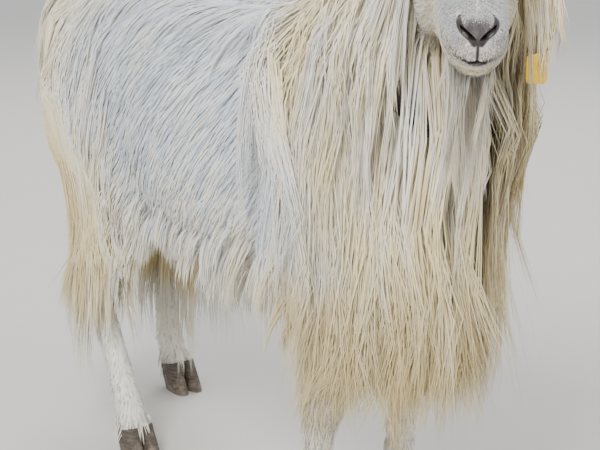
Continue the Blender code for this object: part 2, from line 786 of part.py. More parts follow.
def lock_path(skin, root, normal, flow, length, lift, drop, depth):
    """A lock's path from inside the flesh along its lie, more and more straight down, and clear of the skin."""
    way = (flow - normal * min(0, flow.dot(normal))).normalized()
    here = root + normal * 0.003
    points = [root - normal * depth, here]
    outs = [normal] * 2 if normal.dot(way) < 0.8 else [AHEAD] * 2
    for i in range(1, LOCK_STEPS + 1):
        t = i / LOCK_STEPS
        way = way.lerp(-UPWARD, drop * t).normalized()
        here = here + way * length / LOCK_STEPS
        near, out, _, _ = skin.find_nearest(here)
        need = 0.004 + lift * math.sin(math.pi * (0.15 + 0.6 * t))
        if (here - near).dot(out) < need:
            here = near + out * need
        way = (here - points[-1]).normalized()
        points.append(here)
        outs.append(outs[-1].lerp(out, 0.6 * (1 - abs(out.dot(way)))).normalized())
    return points, outs


def lock(points, outs, width):
    """One lock: flat beneath, with a ridge on its outer side, and drawn to a point."""
    bm = bmesh.new()
    rings = []
    across = (points[2] - points[1]).cross(outs[1]).normalized()
    for i, (point, girth) in enumerate(zip(points[:-1], LOCK_GIRTHS)):
        along = (points[i + 1] - points[max(i - 1, 0)]).normalized()
        if i > 1:
            across = across.lerp(along.cross(outs[i]).normalized(), 0.6).normalized()
        ridge = across.cross(along).normalized() * LOCK_RIDGE
        corners = (across * -0.5, ridge, across * 0.5)
        rings.append([bm.verts.new(point + corner * width * girth) for corner in corners])
    for first, second in zip(rings, rings[1:]):
        for k in range(3):
            bm.faces.new((first[k], first[(k + 1) % 3], second[(k + 1) % 3], second[k]))
    tip = bm.verts.new(points[-1])
    for k in range(3):
        bm.faces.new((rings[-1][k], rings[-1][(k + 1) % 3], tip))
    bm.faces.new(rings[0])
    bmesh.ops.recalc_face_normals(bm, faces=bm.faces)
    if bm.calc_volume(signed=True) < 0:
        bmesh.ops.reverse_faces(bm, faces=bm.faces)
    bmesh.ops.triangulate(bm, faces=bm.faces)
    return from_bmesh("lock", bm)


def row_of_locks(node, skin, incoming, flow, length, width, lift, chance, drop=0.35, depth=LOCK_ROOT):
    """A lock where each ray meets the node's own skin. Every other one lies higher."""
    own = surface(node)
    made = []
    for i, (start, way) in enumerate(incoming):
        jitter = Vector([chance.uniform(-LOCK_JITTER, LOCK_JITTER) for _ in range(3)])
        sway = Vector([chance.uniform(-LOCK_SWAY, LOCK_SWAY) for _ in range(3)])
        long, wide = chance.uniform(0.86, 1.12), chance.uniform(0.86, 1.14)
        root, normal, _, _ = own.ray_cast(start + jitter, way)
        if root is None or (skin.find_nearest(root)[0] - root).length > 0.001:
            continue
        higher = LOCK_RIDGE * width * (i % 2)
        points, outs = lock_path(skin, root, normal, Vector(flow) + sway, length * long, lift + higher, drop, depth)
        made.append(lock(points, outs, width * wide))
    return made


def beside(locks, *others):
    """The locks that don't cross the others. The rest are removed."""
    around = surface(*others)
    kept = [lock for lock in locks if not around.overlap(surface(lock))]
    for lock in locks:
        if lock not in kept:
            bpy.data.objects.remove(lock)
    return kept


def mane_locks(neck, skin, chance):
    """Rings of locks round the neck and on the chest, that hang in front of the shoulders and forelegs."""
    made = []
    for x, z, (first, last), count, length, width, lift in MANE_RINGS:
        for side in (RIGHT, LEFT):
            for i in range(count):
                angle = math.radians(first + (last - first) * (i + 0.5) / count)
                way = Vector((-math.cos(angle), -side * math.sin(angle), 0))
                flow = Vector((-0.16 * math.sin(angle), 0, -1))
                ray = [(Vector((x, -0.006, z)) - way * 0.4, way)]
                higher = LOCK_RIDGE * width * (i % 2)
                made += row_of_locks(neck, skin, ray, flow, length, width, lift + higher, chance)
    return made


def brisket_locks(shoulders, skin, chance):
    """The hair between the forelegs."""
    made = []
    first, last = BRISKET
    for side in (RIGHT, LEFT):
        under = rays((first[0], side * first[1], 0.3), (last[0], side * last[1], 0.3), 3, UPWARD)
        made += row_of_locks(shoulders, skin, under, (-0.1, 0, -1), *BRISKET_LOCK, chance)
    return made


def side_locks(node, skin, rows, chance):
    """Rows of locks on both sides of a node."""
    made = []
    for (x_first, z_first), (x_last, z_last), tilt, count, flow, length, width, lift in rows:
        for side in (RIGHT, LEFT):
            out = SPINE_OUT if tilt > 1 else ROW_OUT
            first, last = (x_first, side * out, z_first), (x_last, side * out, z_last)
            incoming = rays(first, last, count, (0, -side, -tilt))
            lie = (flow[0], flow[1] * side, flow[2])
            made += row_of_locks(node, skin, incoming, lie, length, width, lift, chance)
    return made


def buttock_locks(hindquarters, skin, chance):
    made = []
    first, last = BUTTOCK
    for side in (RIGHT, LEFT):
        behind_it = rays((-0.5, side * first[0], first[1]), (-0.5, side * last[0], last[1]), 3, AHEAD)
        made += row_of_locks(hindquarters, skin, behind_it, (-0.1, side * 0.1, -1), *BUTTOCK_LOCK, chance)
    return made


def tail_locks(tail, chance):
    made = []
    for angle, level in TAIL_ROOTS:
        turn = math.radians(angle)
        way = Vector((-math.cos(turn), -math.sin(turn), -0.3))
        ray = rays((*TAIL_MIDDLE, level), (*TAIL_MIDDLE, level), 1, way)
        made += row_of_locks(tail, surface(tail), ray, (-0.05, 0, -1), *TAIL_LOCK, chance, depth=TAIL_DEPTH)
    return made


def head_locks(head, skin, chance):
    """The beard under the jaw, and the forelock between the horns."""
    along, left, up = head_axes()
    made = []
    for s, out, length in BEARD:
        for sign in (RIGHT, LEFT) if out else (RIGHT,):
            place = on_head(s, sign * out, -0.05)
            ray = rays(place, place, 1, up)
            made += row_of_locks(head, skin, ray, (-0.05, 0, -1), length, BEARD_WIDTH, 0.002, chance)
    for out, length in FORELOCK:
        place = on_head(FORELOCK_START, out, 0.03)
        flow = along + left * out * 6
        ray = rays(place, place, 1, -up)
        width, depth = FORELOCK_WIDTH, FORELOCK_DEPTH
        made += row_of_locks(head, skin, ray, flow, length, width, 0.002, chance, 0.25, depth)
    return made


# The nodes, their materials and their place

# Colour and roughness by the start of a node's name. The last line is for all that carries the coat
FINISHES = (
    ("horn", (0.30, 0.25, 0.19), 0.55),
    ("claw", (0.09, 0.075, 0.06), 0.50),
    ("eye", (0.42, 0.26, 0.06), 0.12),
    ("ear_tag", (0.85, 0.60, 0.04), 0.45),
    ("collar", (0.035, 0.030, 0.028), 0.70),
    ("head", (0.78, 0.74, 0.66), 0.80),
    ("tail", (0.62, 0.56, 0.46), 0.80),
    ("", (0.80, 0.75, 0.63), 0.80),
)


def finish(obj):
    """The node's own material, and smooth shading with sharp edges kept."""
    colour, roughness = next(values for start, *values in FINISHES if obj.name.startswith(start))
    made = bpy.data.materials.new(obj.name)
    made.use_nodes = True
    shader = made.node_tree.nodes["Principled BSDF"]
    shader.inputs["Base Color"].default_value = (*colour, 1)
    shader.inputs["Roughness"].default_value = roughness
    shader.inputs["Metallic"].default_value = 0
    obj.data.materials.clear()
    obj.data.materials.append(made)
    obj.data.shade_smooth()
    obj.data.set_sharp_from_angle(angle=math.radians(40))


def centring(nodes):
    """What puts the origin under the middle of the whole part."""
    corners = [Vector(corner) for obj in nodes for corner in obj.bound_box]
    low, high = (Vector((pick(c.x for c in corners), pick(c.y for c in corners), 0)) for pick in (min, max))
    return (low + high) / -2


def parted(body):
    """The body cut into its nodes."""
    cuts = {
        "neck": [NECK_LINE],
        "shoulders": [behind(NECK_LINE), GIRTH_LINE, ELBOW_LINE],
        "barrel": [behind(GIRTH_LINE), FLANK_LINE],
        "hindquarters": [behind(FLANK_LINE), GASKIN_LINE],
    }
    for side in (RIGHT, LEFT):
        fore_end = FORELEG[-1][0] + FORE_STEP[side]
        hind_end = HIND_JOINTS[side][-1][0]
        cuts[on_side(side, "foreleg")] = [GIRTH_LINE, behind(ELBOW_LINE), side_of(side), coronet_plane(fore_end)]
        cuts[on_side(side, "hind_leg")] = [
            behind(FLANK_LINE), behind(GASKIN_LINE), side_of(side), coronet_plane(hind_end),
        ]
    return {name: largest(between(body, name, planes)) for name, planes in cuts.items()}


def bare():
    """The nodes without their long coat."""
    body = thinned(whole_body(), BODY_TRIANGLES)
    nodes = parted(body)
    bpy.data.objects.remove(body)
    nodes["head"] = head()
    nodes["tail"] = tail_core()
    nodes["collar"] = collar()
    nodes["ear_tag"] = ear_tag()
    for side in (RIGHT, LEFT):
        nodes[on_side(side, "eye")] = eye(side)
        nodes[on_side(side, "horn")] = clear_of(horn(side), nodes["head"])
        nodes[on_side(side, "ear")] = clear_of(ear(side), nodes["head"], nodes["neck"])
        for end, centre, track in (
            ("fore", FORELEG[-1][0] + FORE_STEP[side], FORE_TRACK),
            ("hind", HIND_JOINTS[side][-1][0], HIND_TRACK),
        ):
            for claw in claws(side, end, centre, track):
                nodes[claw.name] = claw
    clear_of(nodes["ear_left"], nodes["ear_tag"])
    return nodes


def coated(nodes):
    """The nodes with their long coat, each cut clear of the nodes that it would cross."""
    chance = random.Random(7)
    legs = {end: [nodes[on_side(side, end)] for side in (RIGHT, LEFT)] for end in ("foreleg", "hind_leg")}
    ears, horns = ([nodes[on_side(side, thing)] for side in (RIGHT, LEFT)] for thing in ("ear", "horn"))
    flesh = [nodes[name] for name in ("neck", "shoulders", "barrel", "hindquarters")]
    skin = surface(*flesh, *legs["foreleg"], *legs["hind_leg"])
    dressed = surface(*flesh, *legs["foreleg"], nodes["collar"], *ears)
    locks = {
        "neck": beside(mane_locks(nodes["neck"], dressed, chance), *ears),
        "shoulders": brisket_locks(nodes["shoulders"], skin, chance),
        "barrel": side_locks(nodes["barrel"], skin, FLANK_ROWS, chance),
        "hindquarters": side_locks(nodes["hindquarters"], skin, RUMP_ROWS, chance)
        + buttock_locks(nodes["hindquarters"], skin, chance),
        "tail": tail_locks(nodes["tail"], chance),
        "head": beside(head_locks(nodes["head"], surface(nodes["head"]), chance), *horns),
    }
    crossed = {
        "head": [],
        "shoulders": legs["foreleg"],
        "neck": [nodes["head"], nodes["shoulders"], nodes["collar"], *legs["foreleg"]],
        "hindquarters": legs["hind_leg"],
        "barrel": [*flesh[:2], nodes["hindquarters"], *legs["foreleg"], *legs["hind_leg"]],
        "tail": [nodes["hindquarters"]],
    }
    for name, others in crossed.items():
        boolean(nodes[name], "UNION", locks[name])
        if others:
            clear_of(nodes[name], *others)
    face_cut(nodes["head"])
    clear_of(nodes["head"], nodes["eye_right"], nodes["eye_left"])
    return nodes


def main():
    for old in list(bpy.data.objects):
        bpy.data.objects.remove(old)
    nodes = coated(bare())
    kept = bpy.data.collections.new("irish_goat")
    bpy.context.scene.collection.children.link(kept)
    shift = centring(nodes.values())
    for name, obj in nodes.items():
        obj.name = name
        finish(in_triangles(obj))
        obj.location = shift
        for holder in obj.users_collection:
            holder.objects.unlink(obj)
        kept.objects.link(obj)
    return shift


SHIFT = main()
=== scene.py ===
"""A long-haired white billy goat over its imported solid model: skin, coat, face, horns, feet, collar and tag."""

import math

import bmesh
import bpy
import numpy as np
from bpy.props import FloatProperty, FloatVectorProperty, IntProperty, PointerProperty
from mathutils import Matrix, Vector
from mathutils.bvhtree import BVHTree


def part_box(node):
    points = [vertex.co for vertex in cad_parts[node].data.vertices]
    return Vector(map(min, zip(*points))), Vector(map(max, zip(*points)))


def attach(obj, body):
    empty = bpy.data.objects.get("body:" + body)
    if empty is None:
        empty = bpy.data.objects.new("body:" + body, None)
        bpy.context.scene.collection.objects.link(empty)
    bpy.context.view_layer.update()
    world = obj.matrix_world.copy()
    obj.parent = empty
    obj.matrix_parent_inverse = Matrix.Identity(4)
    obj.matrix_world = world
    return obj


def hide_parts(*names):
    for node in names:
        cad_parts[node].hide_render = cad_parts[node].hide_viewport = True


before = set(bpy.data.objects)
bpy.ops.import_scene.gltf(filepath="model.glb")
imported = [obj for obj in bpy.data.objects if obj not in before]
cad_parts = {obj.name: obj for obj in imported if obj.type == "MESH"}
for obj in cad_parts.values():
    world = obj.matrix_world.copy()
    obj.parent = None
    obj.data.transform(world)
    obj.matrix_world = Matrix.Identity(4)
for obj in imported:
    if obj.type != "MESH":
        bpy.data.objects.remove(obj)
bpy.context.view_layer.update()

bl_info = {
    "name": "Long-haired Billy Goat",
    "version": (1, 0, 0),
    "blender": (4, 5, 0),
    "location": "3D View > Sidebar > Goat",
    "description": "A life-size standing billy goat with a long coat, built over its packed solid model",
    "category": "Object",
}

# The goat's build, in metres, as its solid model has it. +X is forward, +Y is its left
WITHERS = 0.76
RIGHT, LEFT = -1, 1
ACROSS, AHEAD, UPWARD = Vector((0, 1, 0)), Vector((1, 0, 0)), Vector((0, 0, 1))

# The trunk's stations: x, top, bottom, half width, and the level of its widest point
TRUNK = (
    (-0.490, 0.630, 0.560, 0.030, 0.600),
    (-0.462, 0.676, 0.520, 0.066, 0.606),
    (-0.405, 0.712, 0.478, 0.098, 0.606),
    (-0.320, 0.738, 0.440, 0.120, 0.600),
    (-0.240, 0.744, 0.405, 0.132, 0.585),
    (-0.150, 0.734, 0.368, 0.147, 0.560),
    (-0.050, 0.724, 0.342, 0.164, 0.530),
    (0.050, 0.726, 0.338, 0.166, 0.520),
    (0.130, 0.742, 0.350, 0.150, 0.525),
    (0.200, WITHERS, 0.364, 0.128, 0.535),
    (0.280, 0.748, 0.378, 0.112, 0.545),
    (0.345, 0.700, 0.398, 0.096, 0.550),
    (0.395, 0.640, 0.424, 0.076, 0.535),
    (0.425, 0.585, 0.462, 0.046, 0.520),
    (0.437, 0.545, 0.495, 0.018, 0.520),
)
# The neck's stations along its axis: x, y, z, half width, and half depth
NECK = (
    (0.225, 0.000, 0.580, 0.084, 0.165),
    (0.290, 0.000, 0.645, 0.082, 0.145),
    (0.350, -0.002, 0.716, 0.073, 0.116),
    (0.400, -0.008, 0.778, 0.062, 0.088),
    (0.436, -0.014, 0.822, 0.054, 0.070),
    (0.462, -0.024, 0.846, 0.038, 0.048),
)
# The head's own axes: it looks down and to the goat's right
POLL = Vector((0.441, -0.005, 0.872))
HEAD_TURN = math.radians(-38)
HEAD_DIP = math.radians(22)
HEAD_LENGTH = 0.264
# The head's stations: distance from the poll, top, bottom, half width, and level of the widest point
HEAD = (
    (-0.030, -0.012, -0.080, 0.030, -0.045),
    (-0.005, 0.012, -0.098, 0.047, -0.045),
    (0.035, 0.026, -0.114, 0.055, -0.042),
    (0.075, 0.030, -0.118, 0.055, -0.040),
    (0.110, 0.022, -0.110, 0.048, -0.042),
    (0.150, 0.010, -0.093, 0.040, -0.040),
    (0.190, 0.006, -0.077, 0.0360, -0.036),
    (0.216, 0.004, -0.070, 0.0350, -0.035),
    (0.236, 0.000, -0.064, 0.0310, -0.035),
    (0.251, -0.007, -0.058, 0.0240, -0.034),
    (0.260, -0.016, -0.050, 0.0150, -0.032),
    (HEAD_LENGTH, -0.024, -0.043, 0.0060, -0.032),
)
EYE = (0.086, 0.0475, -0.010)
EYE_RADIUS = 0.0145
LID = 0.0028
EYE_OPENING = (0.0125, 0.0080, 0.0058)  # half its length, above and below the slit
IRIS_RADIUS = 0.0098
CORNEA_BULGE = 0.050
NOSTRIL = (0.0113, -0.0102)  # out and up, for the slit's middle
NOSTRIL_SLANT = (0.733, 0.680)  # out and up
NOSTRIL_LENGTH = 0.0212
MOUTH_CORNER = -0.026
MOUTH_FRONT = -0.0395
MOUTH_DEPTH = 0.007

HORN_LENGTH = 0.43
HORN_ROOT = (0.022, 0.026, 0.006)
HORN_BACK = (24, 116)  # how far it leans back at its root and at its tip, in degrees
HORN_SPREAD = (12, 46)  # how far it leans out
HORN_GIRTH = (0.0185, 0.0285, 0.0245)  # half its width, and its reach to the front and to the rear
HORN_STEPS, HORN_SIDES = 150, 28
HORN_RINGS = 34
EAR_LENGTH = 0.196
EAR_ROOT = (-0.002, 0.037, -0.026)
EAR_HALF_WIDTH = 0.031
EAR_CUP = 0.015
EAR_THICKNESS = 0.0042
EAR_STEPS, EAR_POINTS = 34, 13
TAG_STATION, TAG_STATIONS = 10, 12  # where along the ear the tag's pin goes through
TAG_SIZE = (0.028, 0.034, 0.0020)
TAG_CORNER = 0.006
TAG_REACH = 0.0070
TAG_PIN = 0.0030

# The legs' stations from the top: x, z, half depth along the goat, half width across it
FORELEG = (
    (0.232, 0.520, 0.078, 0.036),
    (0.228, 0.450, 0.068, 0.040),
    (0.240, 0.390, 0.050, 0.036),
    (0.254, 0.330, 0.036, 0.029),
    (0.266, 0.275, 0.028, 0.025),
    (0.272, 0.245, 0.028, 0.028),
    (0.272, 0.215, 0.025, 0.026),
    (0.267, 0.175, 0.0185, 0.0180),
    (0.265, 0.125, 0.0180, 0.0180),
    (0.266, 0.095, 0.0235, 0.0225),
    (0.278, 0.066, 0.0205, 0.0215),
    (0.292, 0.036, 0.0250, 0.0265),
)
# Hip, stifle, hock, fetlock and coronet: x and z
HIND_JOINTS = {
    RIGHT: ((-0.350, 0.610), (-0.160, 0.440), (-0.298, 0.268), (-0.208, 0.094), (-0.184, 0.036)),
    LEFT: ((-0.370, 0.610), (-0.235, 0.430), (-0.438, 0.268), (-0.412, 0.094), (-0.386, 0.036)),
}
# The hind leg's half depth and half width at those joints, and halfway down gaskin and cannon
HIND_GIRTHS = (
    (0.100, 0.050),
    (0.082, 0.048),
    (0.048, 0.031),
    (0.031, 0.0225),
    (0.0200, 0.0190),
    (0.0230, 0.0230),
    (0.0250, 0.0265),
)
SHANK_TOP = 9  # the ring of a leg from which it keeps its true girth
FORE_TRACK = 0.082
HIND_TRACK = 0.102
FORE_STEP = {RIGHT: 0.008, LEFT: -0.020}
CORONET = 0.046
CORONET_SLOPE = math.radians(14)
CLAW_HALF_WIDTH = 0.0130
# A claw's rows from the coronet to the sole: height, how far ahead, half depth, share of the half width
CLAW_ROWS = (
    (0.066, -0.006, 0.0225, 0.92),
    (0.040, 0.001, 0.0255, 1.0),
    (0.018, 0.011, 0.0290, 1.0),
    (0.0, 0.019, 0.0305, 0.94),
)
# The tail's stations: x, y, z and half depth
TAIL = (
    (-0.440, 0.000, 0.668, 0.030),
    (-0.500, -0.004, 0.672, 0.024),
    (-0.545, -0.012, 0.650, 0.020),
    (-0.562, -0.020, 0.606, 0.015),
    (-0.566, -0.024, 0.562, 0.007),
)
COLLAR_CENTRE = Vector((0.362, 0.004, 0.706))
COLLAR_RADII = (0.142, 0.098)
COLLAR_SLOPE = math.radians(44)
COLLAR_WIDTH = 0.022
COLLAR_THICKNESS = 0.0035
COLLAR_STEPS = 144
COLLAR_REACH = 0.12  # the mean radius, along which the weave is measured
# Corners of the strap's section: share of its thickness, share of its width
COLLAR_CORNERS = (
    (0, -0.5), (0.3, -0.52), (0.9, -0.46), (1.0, -0.36), (1.0, 0),
    (1.0, 0.36), (0.9, 0.46), (0.3, 0.52), (0, 0.5), (0, 0),
)
# The sleeve that keeps the hair over the collar: how far up from it, and its share of the collar's radii
GUARD = ((0.075, 0.45), (0.040, 0.78), (0.012, 1.0), (-0.012, 1.0), (-0.040, 0.80), (-0.075, 0.45))

MAP = "OFBake"
PATCH = 0.003  # how wide a strand's patch on the map is
STRANDS_PER_PIECE = 6900
SHORT_SEED, EAR_SEED = 1, 5  # what is added to the seed for the short coat and for the ears
# Where a long strand has its rings and its tip, as shares of its length, and the girth of its rings
STRAND_PLACES = np.array((0.0, 0.04, 0.27, 0.52, 0.77, 1.0))
STRAND_GIRTHS = np.array((0.75, 1.0, 1.0, 0.85, 0.55))
GUIDE_STEPS = 9
ROOT_HEIGHT = 0.0015  # how far from the skin a path starts and stays
WAVES = 25  # radians of a strand's wave in each metre

# Shades inside a material that a user has no need to change
# Painted shade: the warm brown that the hair under the jaw is darkened towards
THROAT_PAINTED_SHADE = (0.30, 0.235, 0.14)
# Painted shade: the darker straw that the lower front of the mane is darkened towards
LOW_MANE_PAINTED_SHADE = (0.42, 0.345, 0.215)
# Painted shade: the dark grey that the skin under the face fur is darkened towards
UNDER_FUR_PAINTED_SHADE = (0.22, 0.20, 0.20)
HORN_CLOUD = (0.09, 0.075, 0.06)
CLAW_RING, CLAW_DIRT = (0.16, 0.125, 0.09), (0.30, 0.25, 0.19)
IRIS_THREAD, IRIS_RIM, EYE_WHITE = (0.22, 0.10, 0.018), (0.030, 0.020, 0.014), (0.34, 0.27, 0.22)
PUPIL = (0.004, 0.004, 0.006)
STRAP_GRIME, STRAP_EDGE, STITCH = (0.13, 0.105, 0.085), (0.20, 0.165, 0.13), (0.22, 0.19, 0.16)
TAG_GRIME = (0.36, 0.25, 0.08)
FLOOR_CLOUD = (0.50, 0.49, 0.47)
# The webbing in each metre: radians of its warp, weft and stitches, and how many warps
WARP, WEFT, STITCHES, WARPS = 2600.0, 3600.0, 1500.0, 414.0

# The studio's lamps: name, place, size, watts and tint
LAMPS = (
    ("key", (1.6, -2.6, 3.4), 1.6, 205, (1.0, 0.97, 0.92)),
    ("fill", (3.2, 1.2, 1.8), 2.4, 44, (1.0, 0.97, 0.93)),
    ("rim", (-2.2, 1.8, 2.6), 1.8, 60, (1.0, 0.98, 0.95)),
)
LAMP_TARGET = (0.05, 0, 0.5)
SKY = (0.96, 0.97, 1.0, 1)
FLOOR_SIZE = 60
CAMERA_PLACE, CAMERA_TARGET = Vector((1.7797, -1.2164, 1.0134)), Vector((0.085, 0.022, 0.414))
CAMERA_LENS, CAMERA_SENSOR = 92.93, 36


# Sizes and colours that a user would change


def length(name, description, default):
    return FloatProperty(name=name, description=description, default=default, min=0, unit="LENGTH", precision=4)


def colour(name, description, default):
    return FloatVectorProperty(
        name=name, description=description, default=default, min=0, max=1, size=3, subtype="COLOR"
    )


class GoatSizes(bpy.types.PropertyGroup):
    """Lengths of the coat, and how fine the skin is."""

    coat_depth: length("Coat depth", "How far the skin lies inside the solid body", 0.008)
    leg_coat_depth: length("Leg coat depth", "The same on the shanks and the tail", 0.0025)
    face_coat_depth: length("Face coat depth", "The same on the head", 0.0013)
    body_grain: length("Body grain", "Size of the body skin's faces", 0.0050)
    face_grain: length("Face grain", "Size of the face skin's faces", 0.0016)
    mane_length: length("Mane", "Longest hair of neck and chest", 0.45)
    haunch_length: length("Haunch", "Longest hair of rump and thigh", 0.36)
    fringe_length: length("Belly fringe", "Length of the hair along the belly", 0.115)
    back_length: length("Back", "Length of the hair that falls from the spine", 0.135)
    beard_length: length("Beard", "Length of the hair under the jaw", 0.165)
    flank_length: length("Flank", "Length of the sleek hair on ribs and shoulder", 0.060)
    strand_width: length("Strand", "Width of a strand of the long coat", 0.0020)
    seed: IntProperty(name="Seed", description="Another fall of the hair", default=11, min=0)


class GoatColours(bpy.types.PropertyGroup):
    """Colours of coat, skin, horn and gear, and of the painted shade in the coat."""

    silver: colour("Silver", "The cool white of the flank", (0.60, 0.68, 0.755))
    white: colour("White", "Shoulder, legs and upper mane", (0.83, 0.83, 0.80))
    cream: colour("Cream", "Most of the long hair", (0.86, 0.765, 0.485))
    straw: colour("Straw", "Tips and weathered hair", (0.72, 0.575, 0.25))
    # Tan is both the colour of stained hair and the painted shade at the roots and between the strands of the
    # long coat
    tan: colour("Tan", "Depth of the coat and stains", (0.34, 0.245, 0.125))
    # Painted shade: the bluish grey at the roots of the short hair and face fur, on many of their strands and in
    # fine lines
    short_hair_painted_shade: colour("Short hair painted shade", "Depth of the short hair", (0.235, 0.255, 0.285))
    nose: colour("Nose", "Bare skin between the nostrils", (0.030, 0.026, 0.027))
    lip: colour("Lip", "Thinly haired skin of the lips", (0.40, 0.31, 0.30))
    ear_lining: colour("Ear lining", "Skin inside the ears", (0.50, 0.30, 0.24))
    ear_patch: colour("Ear patch", "Brown patch at the ear's tip", (0.20, 0.105, 0.05))
    horn: colour("Horn", "Grey-brown horn", (0.20, 0.155, 0.110))
    horn_pale: colour("Pale horn", "Worn ridges and tips", (0.42, 0.35, 0.26))
    iris: colour("Iris", "Amber of the eye", (0.50, 0.27, 0.045))
    claw: colour("Claw", "Dark hoof horn", (0.060, 0.048, 0.038))
    strap: colour("Strap", "Worn collar", (0.030, 0.025, 0.022))
    tag: colour("Tag", "Plastic of the ear tag", (0.80, 0.50, 0.012))
    floor: colour("Floor", "Studio floor", (0.62, 0.61, 0.59))


# Making meshes


def resample(rows, count):
    """The rows of numbers along a part, made count rows on a Catmull-Rom spline."""
    rows = np.array(rows, float)
    padded = np.vstack([2 * rows[0] - rows[1], rows, 2 * rows[-1] - rows[-2]])
    made = []
    for place in np.linspace(0, len(rows) - 1, count):
        i = min(int(place), len(rows) - 2)
        u = place - i
        a, b, c, d = padded[i : i + 4]
        made.append(b + 0.5 * u * (c - a + u * (2 * a - 5 * b + 4 * c - d + u * (3 * (b - c) + d - a))))
    return np.array(made)


def section(centre, across, up, half_width, rise, drop, sides, fullness=2.0):
    """One closed ring: a superellipse, with its own rise above and drop below the centre."""
    points = []
    for k in range(sides):
        angle = 2 * math.pi * k / sides
        c, s = math.cos(angle), math.sin(angle)
        along_x = math.copysign(abs(c) ** (2 / fullness), c) * half_width
        along_z = math.copysign(abs(s) ** (2 / fullness), s) * (rise if s > 0 else drop)
        points.append(Vector(centre) + across * along_x + up * along_z)
    return points


def from_bmesh(name, bm):
    mesh = bpy.data.meshes.new(name)
    bm.to_mesh(mesh)
    bm.free()
    made = bpy.data.objects.new(name, mesh)
    bpy.context.scene.collection.objects.link(made)
    return made


def tube(name, rings):
    """A closed loft through rings that have the same number of points."""
    bm = bmesh.new()
    made = [[bm.verts.new(p) for p in ring] for ring in rings]
    sides = len(made[0])
    for first, second in zip(made, made[1:]):
        for k in range(sides):
            bm.faces.new((first[k], first[(k + 1) % sides], second[(k + 1) % sides], second[k]))
    bm.faces.new(made[0])
    bm.faces.new(made[-1])
    bmesh.ops.recalc_face_normals(bm, faces=bm.faces)
    if bm.calc_volume(signed=True) < 0:
        bmesh.ops.reverse_faces(bm, faces=bm.faces)
    return from_bmesh(name, bm)


def ellipsoid(name, centre, radii, turn=(0, 0, 0), detail=4):
    """A swelling: an icosphere drawn out to three radii, turned by angles in degrees."""
    bm = bmesh.new()
    bmesh.ops.create_icosphere(bm, subdivisions=detail, radius=1.0)
    x_turn, y_turn, z_turn = (math.radians(a) for a in turn)
    spin = Matrix.Rotation(z_turn, 4, "Z") @ Matrix.Rotation(y_turn, 4, "Y") @ Matrix.Rotation(x_turn, 4, "X")
    place = Matrix.Translation(Vector(centre)) @ spin @ Matrix.Diagonal((*radii, 1))
    bmesh.ops.transform(bm, matrix=place, verts=bm.verts)
    return from_bmesh(name, bm)


def path_frames(points):
    """For each point of a path, the directions across it (level) and up from it."""
    frames = []
    for i, here in enumerate(points):
        along = (points[min(i + 1, len(points) - 1)] - points[max(i - 1, 0)]).normalized()
        across = UPWARD.cross(along).normalized()
        frames.append((here, across, along.cross(across)))
    return frames


def evaluated(obj):
    """The object with its modifiers made part of its mesh."""
    mesh = bpy.data.meshes.new_from_object(obj.evaluated_get(bpy.context.evaluated_depsgraph_get()))
    obj.modifiers.clear()
    obj.data = mesh
    return obj


def joined(name, pieces):
    """One object that holds the pieces' meshes side by side."""
    bm = bmesh.new()
    for piece in pieces:
        bm.from_mesh(piece.data)
        bpy.data.objects.remove(piece)
    return from_bmesh(name, bm)


def fused(name, pieces, voxel, smoothing):
    """The pieces made one closed body, with their joins softened."""
    made = joined(name, pieces)
    grid = made.modifiers.new("one body", "REMESH")
    grid.mode = "VOXEL"
    grid.voxel_size = voxel
    soften = made.modifiers.new("soft joins", "SMOOTH")
    soften.factor = 0.5
    soften.iterations = smoothing
    return evaluated(made)


def boolean(obj, operation, others, solver="EXACT"):
    """The object joined with the others, or cut by them. The others are removed."""
    group = bpy.data.collections.new(operation.lower())
    bpy.context.scene.collection.children.link(group)
    for other in others:
        group.objects.link(other)
    change = obj.modifiers.new(operation.lower(), "BOOLEAN")
    change.operation = operation
    change.operand_type = "COLLECTION"
    change.collection = group
    change.solver = solver
    evaluated(obj)
    for other in others:
        bpy.data.objects.remove(other)
    bpy.data.collections.remove(group)
    return obj


def bevelled(obj, width, segments=2, angle=35):
    """The object with its sharp edges rounded."""
    soften = obj.modifiers.new("rounded edges", "BEVEL")
    soften.width = width
    soften.segments = segments
    soften.limit_method = "ANGLE"
    soften.angle_limit = math.radians(angle)
    return evaluated(obj)


def array_of(items, field, width, kind=float):
    """A field of all the items, as rows of numbers."""
    values = np.empty(len(items) * width, kind)
    items.foreach_get(field, values)
    return values.reshape(-1, width)


def mark(mesh, name, vectors):
    """Gives each point of the mesh three numbers for its material to read."""
    values = np.asarray(vectors, float).ravel()
    mesh.attributes.new(name, "FLOAT_VECTOR", "POINT").data.foreach_set("vector", values)


def unit(vectors):
    return vectors / np.maximum(np.linalg.norm(vectors, axis=-1, keepdims=True), 1e-9)


def dot(first, second):
    return (first * second).sum(axis=-1)


def ease(values, start, end):
    """0 before start, 1 after end, and smooth between them."""
    t = np.clip((values - start) / (end - start), 0, 1)
    return t * t * (3 - 2 * t)


def between(ends, t):
    return ends[0] + (ends[1] - ends[0]) * t


def on_side(side, thing):
    return f"{thing}_{'left' if side == LEFT else 'right'}"


def unwrapped(obj):
    """The object with a map of its own shape."""
    for other in bpy.context.selected_objects:
        other.select_set(False)
    obj.select_set(True)
    bpy.context.view_layer.objects.active = obj
    obj.data.uv_layers.new(name=MAP)
    bpy.ops.object.mode_set(mode="EDIT")
    bpy.ops.mesh.select_all(action="SELECT")
    bpy.ops.uv.smart_project(angle_limit=math.radians(66), island_margin=0.002)
    bpy.ops.object.mode_set(mode="OBJECT")
    obj.select_set(False)
    return obj


def finished(obj, name, slot, material, nodes=(), unwrap=True):
    """The object as a piece of the model, in the place of the solid nodes that it stands for."""
    obj.name = name
    obj.data.materials.clear()
    obj.data.materials.append(material)
    if unwrap:
        obj.data.shade_smooth()
        obj.data.set_sharp_from_angle(angle=math.radians(50))
        unwrapped(obj)
    obj.location = model_shift()
    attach(obj, "root")
    if nodes:
        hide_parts(*nodes)
    return obj


# The head's directions and places


